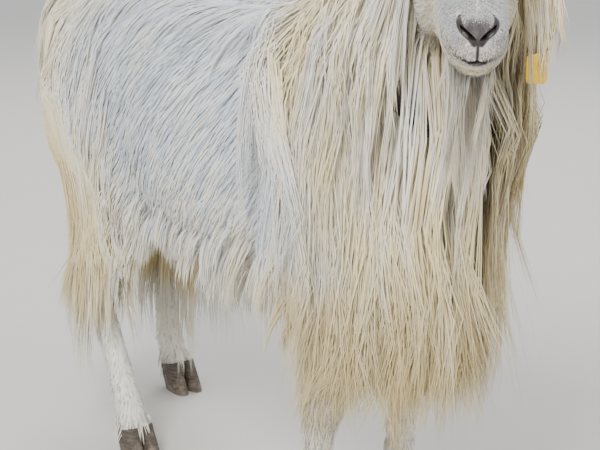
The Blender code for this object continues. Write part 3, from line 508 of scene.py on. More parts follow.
def head_axes():
    """The head's directions: along the face to the nose, to its left, and up from the face."""
    c, s = math.cos(HEAD_DIP), math.sin(HEAD_DIP)
    along = Vector((math.cos(HEAD_TURN) * c, math.sin(HEAD_TURN) * c, -s))
    left = Vector((-math.sin(HEAD_TURN), math.cos(HEAD_TURN), 0))
    return along, left, along.cross(left)


def on_head(along, left, up):
    """A place given in the head's own axes."""
    a, b, c = head_axes()
    return POLL + a * along + b * left + c * up


def beside_head(side, place):
    """A place in the head's own axes, given for the left and put on that side."""
    return on_head(place[0], side * place[1], place[2])


def in_head(points):
    """Places as distances along, left and up in the head's own axes."""
    return (points - np.array(POLL)) @ np.array([list(axis) for axis in head_axes()]).T


def head_turned():
    """The turn of an ellipsoid that lies along the head, in degrees."""
    return 0, math.degrees(HEAD_DIP), math.degrees(HEAD_TURN)


def eye_frame(side):
    """An eye's centre, and its directions: out of the head, along the slit and across it."""
    along, left, up = head_axes()
    outward = (left * side * 0.90 + along * 0.38 + up * 0.20).normalized()
    slit = (along - up * 0.16).normalized()
    slit = (slit - outward * slit.dot(outward)).normalized()
    return beside_head(side, EYE), outward, slit, slit.cross(outward) * side


def model_shift():
    """From the goat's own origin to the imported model's."""
    low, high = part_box("eye_left")
    return (Vector(low) + Vector(high)) / 2 - on_head(*EYE)


# Skin


def trunk():
    rings = [
        section((x, 0, level), ACROSS, UPWARD, wide, top - level, level - bottom, 28, 2.15)
        for x, top, bottom, wide, level in resample(TRUNK, 30)
    ]
    return tube("trunk", rings)


def along_path(name, rows, count, sides, wide, deep):
    """A tube along a path, whose rows are a place and then the half width and half depth."""
    rows = resample(rows, count)
    rings = []
    for (here, across, up), row in zip(path_frames([Vector(row[:3]) for row in rows]), rows):
        rings.append(section(here, across, up, row[3] * wide, row[deep], row[deep], sides))
    return tube(name, rings)


def foreleg_core(side, top=0):
    rings = []
    for x, z, deep, wide in resample(FORELEG, 30)[top:]:
        step = FORE_STEP[side] * min(1, max(0, (0.5 - z) / 0.45))
        rings.append(section((x + step, side * FORE_TRACK, z), ACROSS, AHEAD, wide, deep, deep, 20))
    return tube("foreleg_core", rings)


def hind_leg_core(side, top=0):
    hip, stifle, hock, fetlock, coronet = (Vector((x, side * HIND_TRACK, z)) for x, z in HIND_JOINTS[side])
    places = (hip, stifle, stifle.lerp(hock, 0.55), hock, hock.lerp(fetlock, 0.55), fetlock, coronet)
    rows = resample([(*place, *girth) for place, girth in zip(places, HIND_GIRTHS)], 30)
    points = [Vector(row[:3]) for row in rows]
    rings = []
    for i, (point, row) in enumerate(zip(points, rows)):
        along = (points[min(i + 1, len(points) - 1)] - points[max(i - 1, 0)]).normalized()
        rings.append(section(point, ACROSS, ACROSS.cross(along), row[4], row[3], row[3], 20))
    return tube("hind_leg_core", rings[top:])


def limbs(top=0):
    """The four legs, each from its ring of that number down."""
    return [make(side, top) for make in (foreleg_core, hind_leg_core) for side in (RIGHT, LEFT)]


def muscles():
    """The swellings that the limbs make on the trunk, on both sides."""
    made = []
    for side in (RIGHT, LEFT):
        hip, stifle = (Vector((x, 0, z)) for x, z in HIND_JOINTS[side][:2])
        mid = hip.lerp(stifle, 0.5)
        for name, (x, y, z), radii, pitch in (
            ("blade", (0.222, 0.078, 0.600), (0.088, 0.044, 0.165), -18),
            ("upper_arm", (0.300, 0.066, 0.490), (0.100, 0.050, 0.080), 38),
            ("croup", (-0.330, 0.052, 0.618), (0.140, 0.066, 0.092), 10),
            ("thigh", (mid.x - 0.020, 0.084, mid.z - 0.010), (0.155, 0.052, 0.135), 28),
            ("ham", (hip.x - 0.040, 0.062, hip.z - 0.080), (0.085, 0.052, 0.145), 10),
        ):
            made.append(ellipsoid(name, (x, side * y, z), radii, (0, pitch, 0)))
    return made


def shanks():
    """Bones and sinews of the lower legs, and the dewclaws behind each fetlock."""
    made = []
    for side in (RIGHT, LEFT):
        step = FORE_STEP[side]
        y = side * FORE_TRACK
        made.append(ellipsoid("knee", (0.284 + step, y, 0.232), (0.019, 0.024, 0.028)))
        made.append(ellipsoid("sinew", (0.251 + step, y, 0.160), (0.010, 0.011, 0.070)))
        (hock_x, hock_z), (ankle_x, ankle_z) = HIND_JOINTS[side][2:4]
        lean = math.degrees(math.atan2(ankle_x - hock_x, hock_z - ankle_z))
        y = side * HIND_TRACK
        heel = (hock_x - 0.018, y, hock_z + 0.012)
        made.append(ellipsoid("heel", heel, (0.018, 0.013, 0.030), (0, -lean, 0)))
        mid = ((hock_x + ankle_x) / 2 - 0.012, y, (hock_z + ankle_z) / 2)
        made.append(ellipsoid("sinew", mid, (0.011, 0.011, 0.075), (0, -lean, 0)))
        for x, track in ((FORELEG[9][0] + step, FORE_TRACK), (ankle_x, HIND_TRACK)):
            for half in (-1, 1):
                place = (x - 0.019, side * track + half * 0.011, 0.080)
                made.append(ellipsoid("dewclaw", place, (0.009, 0.0075, 0.011)))
    return made


def sunk(obj, depth):
    """The object drawn in by depth, a distance for each point and its normal."""
    points = array_of(obj.data.vertices, "co", 3)
    normals = array_of(obj.data.vertices, "normal", 3)
    points -= normals * depth(points)[:, None]
    obj.data.vertices.foreach_set("co", points.ravel())
    obj.data.update()
    return obj


def leg_share(points):
    """1 on the shanks and the tail, where the coat is thin, and 0 on the body."""
    x, _, z = points.T
    fore = ease(x, 0.06, 0.12) * (1 - ease(z, 0.30, 0.42))
    hind = (1 - ease(x, 0.0, 0.06)) * (1 - ease(z, 0.26, 0.36))
    tail = (1 - ease(x, -0.50, -0.47)) * ease(z, 0.50, 0.53)
    return np.maximum(np.maximum(fore, hind), tail)


def body_skin(sizes):
    """Trunk, neck, legs and tail. The shanks come again after the heavy smoothing, at their true girth."""
    neck = along_path("neck", NECK, 18, 22, 1, 4)
    mass = fused("mass", [trunk(), neck, *muscles(), *limbs()], 0.010, 26)
    tail = along_path("tail", TAIL, 12, 16, 1.15, 3)
    body = fused("body", [mass, *limbs(SHANK_TOP), *shanks(), tail], sizes.body_grain, 7)
    flank, shank = sizes.coat_depth, sizes.leg_coat_depth
    return sunk(body, lambda points: flank + (shank - flank) * leg_share(points))


def head_forms():
    """The bony and fleshy swellings of the head: on_head place, then radii along, out and up."""
    middle = (
        ("chin", (0.230, 0, -0.057), (0.024, 0.021, 0.011)),
        ("forehead", (0.052, 0, 0.018), (0.045, 0.036, 0.020)),
    )
    paired = (
        ("brow", (0.084, 0.043, -0.005), (0.027, 0.019, 0.021)),
        ("lid_bulge", EYE, (EYE_RADIUS + LID,) * 3),
        ("cheek", (0.070, 0.037, -0.066), (0.050, 0.021, 0.046)),
        ("nostril_wing", (0.238, 0.016, -0.012), (0.019, 0.011, 0.013)),
        ("upper_lip", (0.242, 0.010, -0.030), (0.020, 0.015, 0.011)),
        ("horn_boss", (0.024, 0.025, 0.014), (0.026, 0.021, 0.020)),
    )
    made = [ellipsoid(name, on_head(*place), radii, head_turned()) for name, place, radii in middle]
    for side in (RIGHT, LEFT):
        for name, place, radii in paired:
            made.append(ellipsoid(name, beside_head(side, place), radii, head_turned()))
    return made


def slit_distance(points, side, grow=1.0):
    """How far each point is outside an eye's opening, measured along the face. It is negative inside."""
    centre, outward, slit, rise = (np.array(v) for v in eye_frame(side))
    reach = points - centre
    s, r, out = reach @ slit, reach @ rise, reach @ outward
    half, above, below = EYE_OPENING
    high = np.where(r > 0, above, below)
    ring = np.hypot(s / (half * grow), r / (high * grow))
    return np.where(out > 0, (ring - 1) * 0.0085, 1.0)


def face_relief(points):
    """How deep folds lie in the face: round the eyes, behind the nostrils and at the corners of the mouth."""
    s, left, up = in_head(points).T
    depth = np.zeros(len(points))
    for side in (RIGHT, LEFT):
        away = slit_distance(points, side)
        depth -= 0.0012 * np.exp(-((away - 0.0016) / 0.0016) ** 2)
        depth += 0.0016 * np.exp(-((away - 0.0068) / 0.0016) ** 2)
        depth += 0.0007 * np.exp(-((away - 0.0120) / 0.0018) ** 2)
        behind_nostril = np.hypot((s - 0.226) / 0.010, (left * side - 0.0265) / 0.008)
        depth += 0.0014 * np.exp(-(behind_nostril**2)) * (up > -0.03)
        tear = np.hypot((s - 0.118) / 0.012, (left * side - 0.0355) / 0.008)
        depth += 0.0016 * np.exp(-(tear**2)) * (up > -0.03)
        cheek_line = np.exp(-((up + 0.050 + 0.25 * (s - 0.12)) / 0.006) ** 2)
        depth += 0.0012 * cheek_line * ease(s, 0.09, 0.12) * (1 - ease(s, 0.17, 0.20)) * (left * side > 0.01)
    groove = np.exp(-((left / 0.0018) ** 2)) * ease(s, 0.240, 0.250)
    depth += 0.0020 * groove * ease(up, -0.012, -0.018) * ease(up, MOUTH_FRONT - 0.002, MOUTH_FRONT + 0.002)
    return depth


def muzzle_point(skin, angle, up):
    """The place on the muzzle's surface at that angle from straight ahead, at that level."""
    along, left, _ = head_axes()
    centre = on_head(0.222, 0, up)
    way = along * math.cos(angle) + left * math.sin(angle)
    return skin.ray_cast(centre + way * 0.2, -way)[0], way


def nostrils(skin):
    """The slits of the nostrils, which slant in and down on the nose and go into the head."""
    along, left, up = head_axes()
    made = []
    for side in (RIGHT, LEFT):
        place = on_head(0.35, side * NOSTRIL[0], NOSTRIL[1])
        spot = skin.ray_cast(place, -along)[0]
        slant = left * side * NOSTRIL_SLANT[0] + up * NOSTRIL_SLANT[1]
        inward = (-along + left * side * 0.35).normalized()
        inward = (inward - slant * inward.dot(slant)).normalized()
        rings = []
        for k in range(13):
            t = -1 + k / 6
            wide = 0.0027 * max(0, 1 - t * t) ** 0.5 + 0.0003
            bend = inward.cross(slant) * side * (-0.0020 * t * t)
            here = spot + slant * (NOSTRIL_LENGTH / 2 * t) + bend
            rings.append(section(here, inward.cross(slant), inward, wide, 0.011, 0.006, 16))
        made.append(tube("nostril", rings))
    return made


def mouth(skin):
    """The line between the lips: a thin blade round the muzzle, that turns up at its corners."""
    rings = []
    _, _, up = head_axes()
    steps = 40
    for i in range(steps + 1):
        t = -1 + 2 * i / steps
        level = MOUTH_FRONT + (MOUTH_CORNER - MOUTH_FRONT) * t * t + 0.0012 * math.exp(-((t / 0.10) ** 2))
        spot, way = muzzle_point(skin, t * math.radians(128), level)
        deep = MOUTH_DEPTH * (1 - 0.6 * t * t)
        outer, inner = spot + way * 0.003, spot - way * deep
        gape, slit = up * 0.0026, up * 0.0005
        rings.append([outer + gape, inner + slit, inner - slit, outer - gape])
    return tube("mouth", rings)


def lid_slit(side):
    """What is cut out of the lids: an almond that widens outwards."""
    centre, outward, slit, rise = eye_frame(side)
    half, above, below = EYE_OPENING
    rings = []
    sides = 28
    for depth, size in ((0.004, 0.90), (EYE_RADIUS, 1.0), (EYE_RADIUS + 0.002, 1.06), (EYE_RADIUS * 1.6, 1.35)):
        ring = []
        for k in range(sides):
            angle = 2 * math.pi * k / sides
            s = math.sin(angle)
            high = (above if s > 0 else below) * math.copysign(abs(s) ** 1.2, s)
            wide = half * size * math.cos(angle)
            ring.append(centre + outward * depth + slit * wide + rise * (high * size))
        rings.append(ring)
    return tube("lid_slit", rings)


def head_skin(sizes):
    _, left, up = head_axes()
    rings = [
        section(on_head(s, 0, level), left, up, wide, top - level, level - bottom, 40, 2.3)
        for s, top, bottom, wide, level in resample(HEAD, 40)
    ]
    head = fused("head", [tube("head_core", rings), *head_forms()], sizes.face_grain, 10)
    thin = sizes.face_coat_depth
    sunk(head, lambda points: thin + face_relief(points))
    skin = surface(head)
    return boolean(head, "DIFFERENCE", [mouth(skin), *nostrils(skin), lid_slit(RIGHT), lid_slit(LEFT)])


def surface(*objs):
    """What strands lie over: the outside of all the objects."""
    points = []
    faces = []
    for obj in objs:
        faces += [[i + len(points) for i in face.vertices] for face in obj.data.polygons]
        points += [vert.co for vert in obj.data.vertices]
    return BVHTree.FromPolygons(points, faces)


# Shader building


class Wire:
    """A socket of a material. Adding, subtracting and multiplying with it adds Math nodes."""

    def __init__(self, looks, socket):
        self.looks = looks
        self.socket = socket

    def __add__(self, other):
        return self.looks.maths("ADD", self, other)

    def __sub__(self, other):
        return self.looks.maths("SUBTRACT", self, other)

    def __rsub__(self, other):
        return self.looks.maths("SUBTRACT", other, self)

    def __mul__(self, other):
        return self.looks.maths("MULTIPLY", self, other)

    __radd__ = __add__
    __rmul__ = __mul__


class Looks:
    """A material in the making."""

    def __init__(self, name, **sockets):
        self.material = bpy.data.materials.new(name)
        self.material.use_nodes = True
        self.tree = self.material.node_tree
        self.shader = self.tree.nodes["Principled BSDF"]
        self.set(**sockets)

    def feed(self, socket, value):
        if isinstance(value, Wire):
            self.tree.links.new(value.socket, socket)
        elif hasattr(socket.default_value, "__len__") and len(socket.default_value) == 4 and len(value) == 3:
            socket.default_value = (*value, 1)
        else:
            socket.default_value = value

    def set(self, **sockets):
        """Values or wires for the shader's sockets."""
        for name, value in sockets.items():
            self.feed(self.shader.inputs[name.replace("_", " ")], value)

    def node(self, kind, sockets=(), out=0, **settings):
        """A node of that kind: its settings first, then values or wires by a socket's number or name."""
        made = self.tree.nodes.new("ShaderNode" + kind)
        for name, value in settings.items():
            setattr(made, name, value)
        for which, value in dict(sockets).items():
            self.feed(made.inputs[which], value)
        return Wire(self, made.outputs[out])

    def maths(self, operation, *values, clamp=False):
        return self.node("Math", enumerate(values), operation=operation, use_clamp=clamp)

    def clamped(self, value):
        return self.maths("ADD", value, 0.0, clamp=True)

    def ease(self, value, start, end):
        """0 where the value is at start, 1 at end, and smooth between them."""
        return self.node("MapRange", ((0, value), (1, start), (2, end)), interpolation_type="SMOOTHSTEP")

    def vectors(self, operation, *values, out=0):
        return self.node("VectorMath", enumerate(values), out, operation=operation)

    def parts(self, vector):
        split = self.tree.nodes.new("ShaderNodeSeparateXYZ")
        self.feed(split.inputs[0], vector)
        return [Wire(self, socket) for socket in split.outputs]

    def mix(self, share, first, second):
        """The first colour, with a share of the second over it."""
        return self.node("Mix", ((0, share), (6, first), (7, second)), 2, data_type="RGBA")

    def ramp(self, value, stops):
        made = self.tree.nodes.new("ShaderNodeValToRGB")
        elements = made.color_ramp.elements
        while len(elements) < len(stops):
            elements.new(0.5)
        for element, (place, shade) in zip(elements, stops):
            element.position = place
            element.color = (*shade, 1)
        self.feed(made.inputs[0], value)
        return Wire(self, made.outputs[0])

    def place(self, stretch=(1, 1, 1)):
        """Where a point is on the piece, drawn out by the stretch."""
        where = self.node("TexCoord", out=3)
        return where if stretch == (1, 1, 1) else self.vectors("MULTIPLY", where, stretch)

    def noise(self, where, scale, detail=3, roughness=0.55):
        sockets = ("Vector", where), ("Scale", scale), ("Detail", detail), ("Roughness", roughness)
        return self.node("TexNoise", sockets)

    def attribute(self, name):
        return self.parts(self.node("Attribute", out=1, attribute_name=name))

    def bump(self, height, distance, strength=1.0):
        self.set(Normal=self.node("Bump", (("Height", height), ("Distance", distance), ("Strength", strength))))

    def in_head(self, where):
        """How far a place is along, left and up in the head's own axes."""
        origin, axes = tuple(POLL), [tuple(axis) for axis in head_axes()]
        return [
            self.vectors("DOT_PRODUCT", self.vectors("SUBTRACT", where, origin), axis, out=1) for axis in axes
        ]


def shades():
    return bpy.context.scene.goat_colours


def coat_colour(looks, own, along):
    """White on flank, shoulder and legs, cream and straw in the long hair and towards its tips. Painted shade
    darkens the hair under the jaw and the lower front of the mane.
    """
    colours = shades()
    where = looks.place()
    x, _, z = looks.parts(where)
    drifts = looks.noise(looks.place((1, 1, 0.30)), 7.0, 3, 0.6)
    streaks = looks.noise(looks.place((1, 1, 0.10)), 38.0, 2, 0.5)
    haunch = looks.ease(x + z * 0.3, 0.02, -0.26)
    swept = looks.ease(z, 0.44, 0.36) * looks.ease(x, 0.14, 0.22)
    front = looks.clamped(looks.ease(x + z * 0.53, 0.52, 0.65) + swept)
    hem = looks.ease(z, 0.56, 0.36) * looks.ease(z, 0.24, 0.32) * (1.0 - front)
    below = looks.ease(z, 0.66, 0.24)
    leg = looks.ease(z, 0.225, 0.175)
    warmth = haunch * 0.32 + front * 0.31 + (haunch + front) * below * 0.24 + hem * 0.16
    warmth = warmth + (drifts - 0.5) * (0.40 + front * 0.60 + haunch * 0.40) + (streaks - 0.5) * 0.34
    warmth = warmth + (own - 0.5) * 0.38 + along * 0.08 - leg * 0.20
    ahead, aside, high = looks.in_head(where)
    bridge = looks.ease(ahead, 0.10, 0.18) * looks.ease(high, -0.036, -0.014) * looks.ease(z, 0.60, 0.70)
    warmth = warmth - bridge * 0.34
    places = (0.0, 0.16, 0.46, 0.84, 1.0)
    coats = (colours.silver, colours.white, colours.cream, colours.straw, colours.tan)
    shade = looks.ramp(looks.clamped(warmth), tuple(zip(places, coats)))
    # Painted shade under the jaw: the throat hair below the head is darkened towards a warm brown
    under_jaw_painted_shade = looks.ease(high, -0.070, -0.105) * looks.ease(high, -0.27, -0.15) * looks.ease(ahead, 0.03, 0.07)
    under_jaw_painted_shade = under_jaw_painted_shade * looks.ease(looks.maths("ABSOLUTE", aside), 0.065, 0.035)
    shade = looks.mix(under_jaw_painted_shade * 0.40, shade, THROAT_PAINTED_SHADE)
    # Painted shade on the lower front of the mane, stronger the lower the hair hangs
    shade = looks.mix(front * looks.ease(z, 0.56, 0.30) * 0.26, shade, LOW_MANE_PAINTED_SHADE)
    return looks.mix(leg * 0.85, shade, looks.mix(0.22, colours.white, colours.cream))


def long_hair(name, dark=0.34, deep=None):
    """Glossy strands with fine lines along them. Painted shade darkens their roots, many whole strands and the
    fine lines.
    """
    # deep is the colour of the painted shade, and dark its share on the strands picked at random
    deep = deep or shades().tan
    looks = Looks(name, Roughness=0.46, Specular_IOR_Level=0.35, Sheen_Weight=0.25, Sheen_Roughness=0.4)
    own, along, across = looks.attribute("strand")
    shade = coat_colour(looks, own, along)
    # Painted shade at the roots, where the coat is densest
    shade = looks.mix(looks.ease(along, 0.45, 0.0) * 0.20, shade, deep)
    # Painted shade on many whole strands, picked at random, for the shade between strands
    painted_shade_strands = looks.ease(looks.maths("FRACT", own * 7.31), 0.60, 0.95)
    shade = looks.mix(painted_shade_strands * dark, shade, deep)
    on_strand = looks.node("CombineXYZ", ((0, across * 5.0 + own * 40.0), (1, along * 2.0)))
    lines = looks.noise(on_strand, 1.0, 2)
    # Painted shade in fine lines between the hairs of each strand
    shade = looks.mix(looks.ease(lines, 0.40, 0.75) * 0.20, shade, looks.mix(0.5, shade, deep))
    looks.set(Base_Color=shade)
    looks.bump(lines, 0.0012, 0.5)
    return looks.material


def skin_looks():
    """Short white fur over pale skin, with the bare skin of nose, lips and lids, and painted shade under the face
    fur, in the nostrils and along the mouth line.
    """
    colours = shades()
    looks = Looks("goat skin", Roughness=0.62, Specular_IOR_Level=0.22, Sheen_Weight=0.03)
    where = looks.place()
    fur = coat_colour(looks, looks.noise(where, 320.0, 1), 0.1)
    along, _, up = looks.in_head(where)
    on_face = looks.ease(along, 0.02, 0.10)
    spots = looks.noise(where, 120.0, 3)
    mottle = looks.noise(where, 520.0, 3, 0.7)
    under = looks.mix(looks.ease(along, 0.16, 0.24), colours.cream, colours.lip)
    # Painted shade under the face fur: the skin's own cream and lip colour darkened so that the hairs stand out
    under = looks.mix(0.6, under, UNDER_FUR_PAINTED_SHADE)
    face = looks.mix(looks.ease(mottle, 0.40, 0.70), under, colours.white)
    pale_chin = looks.ease(up, MOUTH_FRONT - 0.002, MOUTH_FRONT - 0.010) * looks.ease(along, 0.17, 0.23)
    face = looks.mix(pale_chin * 0.6, face, colours.cream)
    lip = looks.ease(along + (spots - 0.5) * 0.012, 0.230, 0.246) * looks.ease(up, -0.010, -0.020)
    lip = lip * looks.ease(up, MOUTH_FRONT - 0.001, MOUTH_FRONT + 0.001)
    face = looks.mix(lip * looks.ease(mottle, 0.66, 0.40) * 0.9, face, colours.lip)
    inside, pad, _ = looks.attribute("bare")
    pad = looks.ease(pad + (mottle - 0.5) * 1.5, 0.30, 0.80)
    face = looks.mix(pad * 0.95, face, colours.nose)
    freckles = looks.ease(spots, 0.66, 0.72) * looks.ease(along, 0.20, 0.235) * looks.ease(up, -0.030, -0.015)
    face = looks.mix(freckles * 0.8, face, colours.nose)
    # Painted shade in the nostrils and along the mouth line, and dark rims on the lids, all in the nose's colour
    face = looks.mix(inside, face, colours.nose)
    looks.set(Base_Color=looks.mix(on_face, fur, face))
    looks.set(Roughness=0.64 - looks.clamped(pad + inside) * 0.26)
    looks.bump(looks.noise(looks.place((1, 1, 0.22)), 420.0, 3, 0.6), 0.0012, 0.6)
    return looks.material


def horn_looks():
    """Ringed horn with fine lines along it, paler where it is worn."""
    colours = shades()
    looks = Looks("horn", Specular_IOR_Level=0.45)
    along, ring, _ = looks.attribute("horn")
    fibres = looks.noise(looks.place(), 160.0, 4, 0.6)
    cloud = looks.noise(looks.place(), 14.0, 3)
    worn = looks.ease(ring + (fibres - 0.5) * 0.8, 0.35, 1.1)
    pale = looks.clamped(worn * 0.7 + looks.ease(along, 0.75, 1.0) * 0.5)
    shade = looks.mix(pale, colours.horn, colours.horn_pale)
    shade = looks.mix(looks.ease(cloud, 0.45, 0.75) * 0.45, shade, HORN_CLOUD)
    looks.set(Base_Color=shade, Roughness=0.62 - worn * 0.18)
    looks.bump(fibres, 0.0010, 0.6)
    return looks.material


def claw_looks():
    colours = shades()
    looks = Looks("claw", Specular_IOR_Level=0.40)
    rings = looks.noise(looks.place((1, 1, 7)), 60.0, 3)
    dirt = looks.noise(looks.place(), 90.0, 4, 0.65)
    _, _, z = looks.parts(looks.place())
    shade = looks.mix(looks.ease(rings, 0.40, 0.70) * 0.6, colours.claw, CLAW_RING)
    shade = looks.mix(looks.ease(dirt - z * 6.0, 0.30, 0.62) * 0.6, shade, CLAW_DIRT)
    looks.set(Base_Color=shade, Roughness=0.42 + dirt * 0.35)
    looks.bump(rings + dirt * 0.4, 0.0012, 0.7)
    return looks.material


def eye_looks():
    """An amber iris with a level, oblong pupil, dark at its rim, under a clear wet surface."""
    colours = shades()
    looks = Looks("eyeball", Roughness=0.04, Specular_IOR_Level=0.6, IOR=1.38)
    looks.set(Coat_Weight=1.0, Coat_Roughness=0.02)
    slit, rise, _ = looks.attribute("gaze")
    radius = looks.maths("SQRT", slit * slit + rise * rise)
    rays = looks.maths("ARCTAN2", rise, slit) * 9.0
    threads = looks.noise(looks.node("CombineXYZ", ((0, rays), (1, radius * 40.0))), 2.0, 4)
    iris = looks.mix(threads, colours.iris, IRIS_THREAD)
    iris = looks.mix(looks.ease(radius, 0.0080, 0.0096), iris, IRIS_RIM)
    shade = looks.mix(looks.ease(radius, IRIS_RADIUS, 0.0108), iris, EYE_WHITE)
    wide = looks.maths("ABSOLUTE", slit) * 0.36
    tall = looks.maths("ABSOLUTE", rise)
    bar = looks.maths("SMOOTH_MAX", wide, tall, 0.0006)
    looks.set(Base_Color=looks.mix(looks.ease(bar, 0.00225, 0.00185), shade, PUPIL))
    return looks.material


def ear_looks():
    """Short fur outside, thin skin within, and a brown patch near the tip."""
    colours = shades()
    looks = Looks("ear skin", Roughness=0.6, Specular_IOR_Level=0.3, Sheen_Weight=0.2)
    along, lining, _ = looks.attribute("ear")
    spots = looks.noise(looks.place(), 60.0, 3)
    fur = looks.mix(looks.noise(looks.place(), 300.0, 2) * 0.4, colours.white, colours.cream)
    shade = looks.mix(lining * 0.8, fur, colours.ear_lining)
    patch = looks.ease(along + (spots - 0.5) * 0.35, 0.66, 0.74)
    looks.set(Base_Color=looks.mix(patch * 0.8, shade, colours.ear_patch))
    looks.bump(looks.noise(looks.place((1, 1, 0.25)), 500.0, 2), 0.0008, 0.6)
    return looks.material


def strap_looks():
    """Worn webbing: a weave, rubbed pale at the edges and stitched along both."""
    colours = shades()
    looks = Looks("strap", Roughness=0.7, Specular_IOR_Level=0.3)
    around, across, _ = looks.attribute("weave")
    warp = looks.maths("SINE", around * WARP)
    weft = looks.maths("SINE", across * WEFT + looks.maths("ROUND", around * WARPS) * math.pi)
    weave = warp * weft
    grime = looks.noise(looks.place(), 70.0, 4, 0.6)
    aside = looks.maths("ABSOLUTE", across)
    edge = looks.ease(aside, COLLAR_WIDTH * 0.36, COLLAR_WIDTH * 0.50)
    shade = looks.mix(looks.ease(grime, 0.42, 0.72) * 0.5, colours.strap, STRAP_GRIME)
    shade = looks.mix(edge * 0.5, shade, STRAP_EDGE)
    seam = looks.ease(looks.maths("ABSOLUTE", aside - COLLAR_WIDTH * 0.34), 0.0009, 0.0005)
    stitch = seam * looks.ease(looks.maths("SINE", around * STITCHES), -0.4, 0.1)
    looks.set(Base_Color=looks.mix(stitch * 0.7, shade, STITCH))
    looks.bump(weave * 0.5 + stitch + grime * 0.3, 0.0008, 0.8)
    return looks.material


def tag_looks():
    """Plain yellow plastic, scuffed and a little dirty."""
    colours = shades()
    looks = Looks("tag plastic", Specular_IOR_Level=0.5)
    grime = looks.noise(looks.place(), 180.0, 5, 0.6)
    scuff = looks.noise(looks.place((1, 6, 1)), 400.0, 3)
    dirty = looks.ease(grime, 0.50, 0.75)
    shade = looks.mix(dirty * 0.45, colours.tag, TAG_GRIME)
    looks.set(Base_Color=shade, Roughness=0.34 + dirty * 0.3)
    looks.bump(grime + scuff * 0.5, 0.0004, 0.6)
    return looks.material


def floor_looks():
    colours = shades()
    looks = Looks("studio floor", Specular_IOR_Level=0.2)
    grain = looks.noise(looks.place(), 9.0, 5, 0.6)
    looks.set(Base_Color=looks.mix(grain * 0.25, colours.floor, FLOOR_CLOUD), Roughness=0.78 + grain * 0.1)
    looks.bump(looks.noise(looks.place(), 120.0, 3), 0.001, 0.2)
    return looks.material


# Hair


class Hide:
    """A skin that hair grows on: where its roots may be, and what the strands lie over."""

    def __init__(self, obj, *around):
        mesh = obj.data
        mesh.calc_loop_triangles()
        self.points = array_of(mesh.vertices, "co", 3)
        self.normals = array_of(mesh.vertices, "normal", 3)
        self.corners = array_of(mesh.loop_triangles, "vertices", 3, int)
        loops = array_of(mesh.loop_triangles, "loops", 3, int)
        self.map = array_of(mesh.uv_layers[MAP].data, "uv", 2)[loops]
        a, b, c = (self.points[self.corners[:, k]] for k in range(3))
        self.areas = np.linalg.norm(np.cross(b - a, c - a), axis=1) / 2
        self.middles = (a + b + c) / 3
        self.facing = unit(np.cross(b - a, c - a))
        self.around = surface(obj, *around)
        self.skin = BVHTree.FromPolygons([Vector(p) for p in self.points], self.corners.tolist())

    def roots(self, density, count, chance):
        """Places spread evenly where density is high: points, normals and places on the map."""
        weight = np.cumsum(self.areas * np.maximum(density(self.middles, self.facing), 0))
        picks = (np.arange(count) + chance.random(count)) / count * weight[-1]
        faces = np.minimum(np.searchsorted(weight, picks), len(weight) - 1)
        u, v = chance.random((2, count))
        over = u + v > 1
        u, v = np.where(over, 1 - u, u), np.where(over, 1 - v, v)
        shares = np.stack([1 - u - v, u, v], axis=1)[:, :, None]
        corners = self.corners[faces]
        points = (self.points[corners] * shares).sum(axis=1)
        normals = unit((self.normals[corners] * shares).sum(axis=1))
        return points, normals, (self.map[faces] * shares).sum(axis=1)

    def nearest(self, points):
        """The nearest place on the skin to each point, and which way it faces."""
        found = [self.around.find_nearest(point)[:2] for point in points]
        return np.array([near for near, _ in found]), np.array([out for _, out in found])

    def on_map(self, points):
        """Where on the skin's map the points are."""
        faces = [self.skin.find_nearest(point)[2] for point in points]
        return self.map[faces].mean(axis=1)


def straight_down(roots, here):
    return np.array((0, 0, -1.0))


def lie_paths(hide, roots, normals, ways, lengths, lifts, drop, pull, steps):
    """Paths that start along their lie, turn more and more to their pull, and keep clear of the skin."""
    here = roots + normals * ROOT_HEIGHT
    points = [here]
    outs = [normals]
    aside = unit(flow(roots, -0.25, 1.0, 0))
    for i in range(1, steps + 1):
        t = i / steps
        ways = unit(ways + (pull(roots, here) - ways) * np.reshape(drop, (-1, 1)) * t)
        here = here + ways * (lengths / steps)[:, None]
        near, out = hide.nearest(here)
        need = ROOT_HEIGHT + lifts * math.sin(math.pi * (0.12 + 0.62 * t))
        low = dot(here - near, out) < need
        here = np.where(low[:, None], near + out * need[:, None], here)
        ways = unit(here - points[-1])
        # The outward direction follows the skin's, less where that lies along the strand
        turned = outs[-1] + (out - outs[-1]) * (0.5 * (1 - np.abs(dot(out, ways))))[:, None]
        turned = turned - ways * (dot(turned, ways) * 0.9)[:, None] + aside * 0.25
        points.append(here)
        outs.append(unit(turned))
    return np.stack(points, axis=1), np.stack(outs, axis=1)


def at_places(paths, places):
    """Each path's points at those shares of its length, one row of shares for each path."""
    last = paths.shape[1] - 1
    spots = np.clip(places * last, 0, last - 1e-6)
    low = spots.astype(int)
    share = (spots - low)[..., None]
    rows = np.arange(len(paths))[:, None]
    return paths[rows, low] * (1 - share) + paths[rows, low + 1] * share


def strand_pieces(name, slot, material, paths, outs, widths, own, roots_map, thick=0.30, soft=True):
    """Strands as closed three-sided spikes. The last point of a path is its tip."""
    pieces = []
    total = len(paths)
    parts = math.ceil(total / STRANDS_PER_PIECE)
    for part in range(parts):
        some = slice(part * total // parts, (part + 1) * total // parts)
        title = f"{name}_{part + 1}" if parts > 1 else name
        parted = (values[some] for values in (paths, outs, widths, own, roots_map))
        made = strand_mesh(title, *parted, thick, soft)
        pieces.append(finished(made, title, slot, material, unwrap=False))
    return pieces


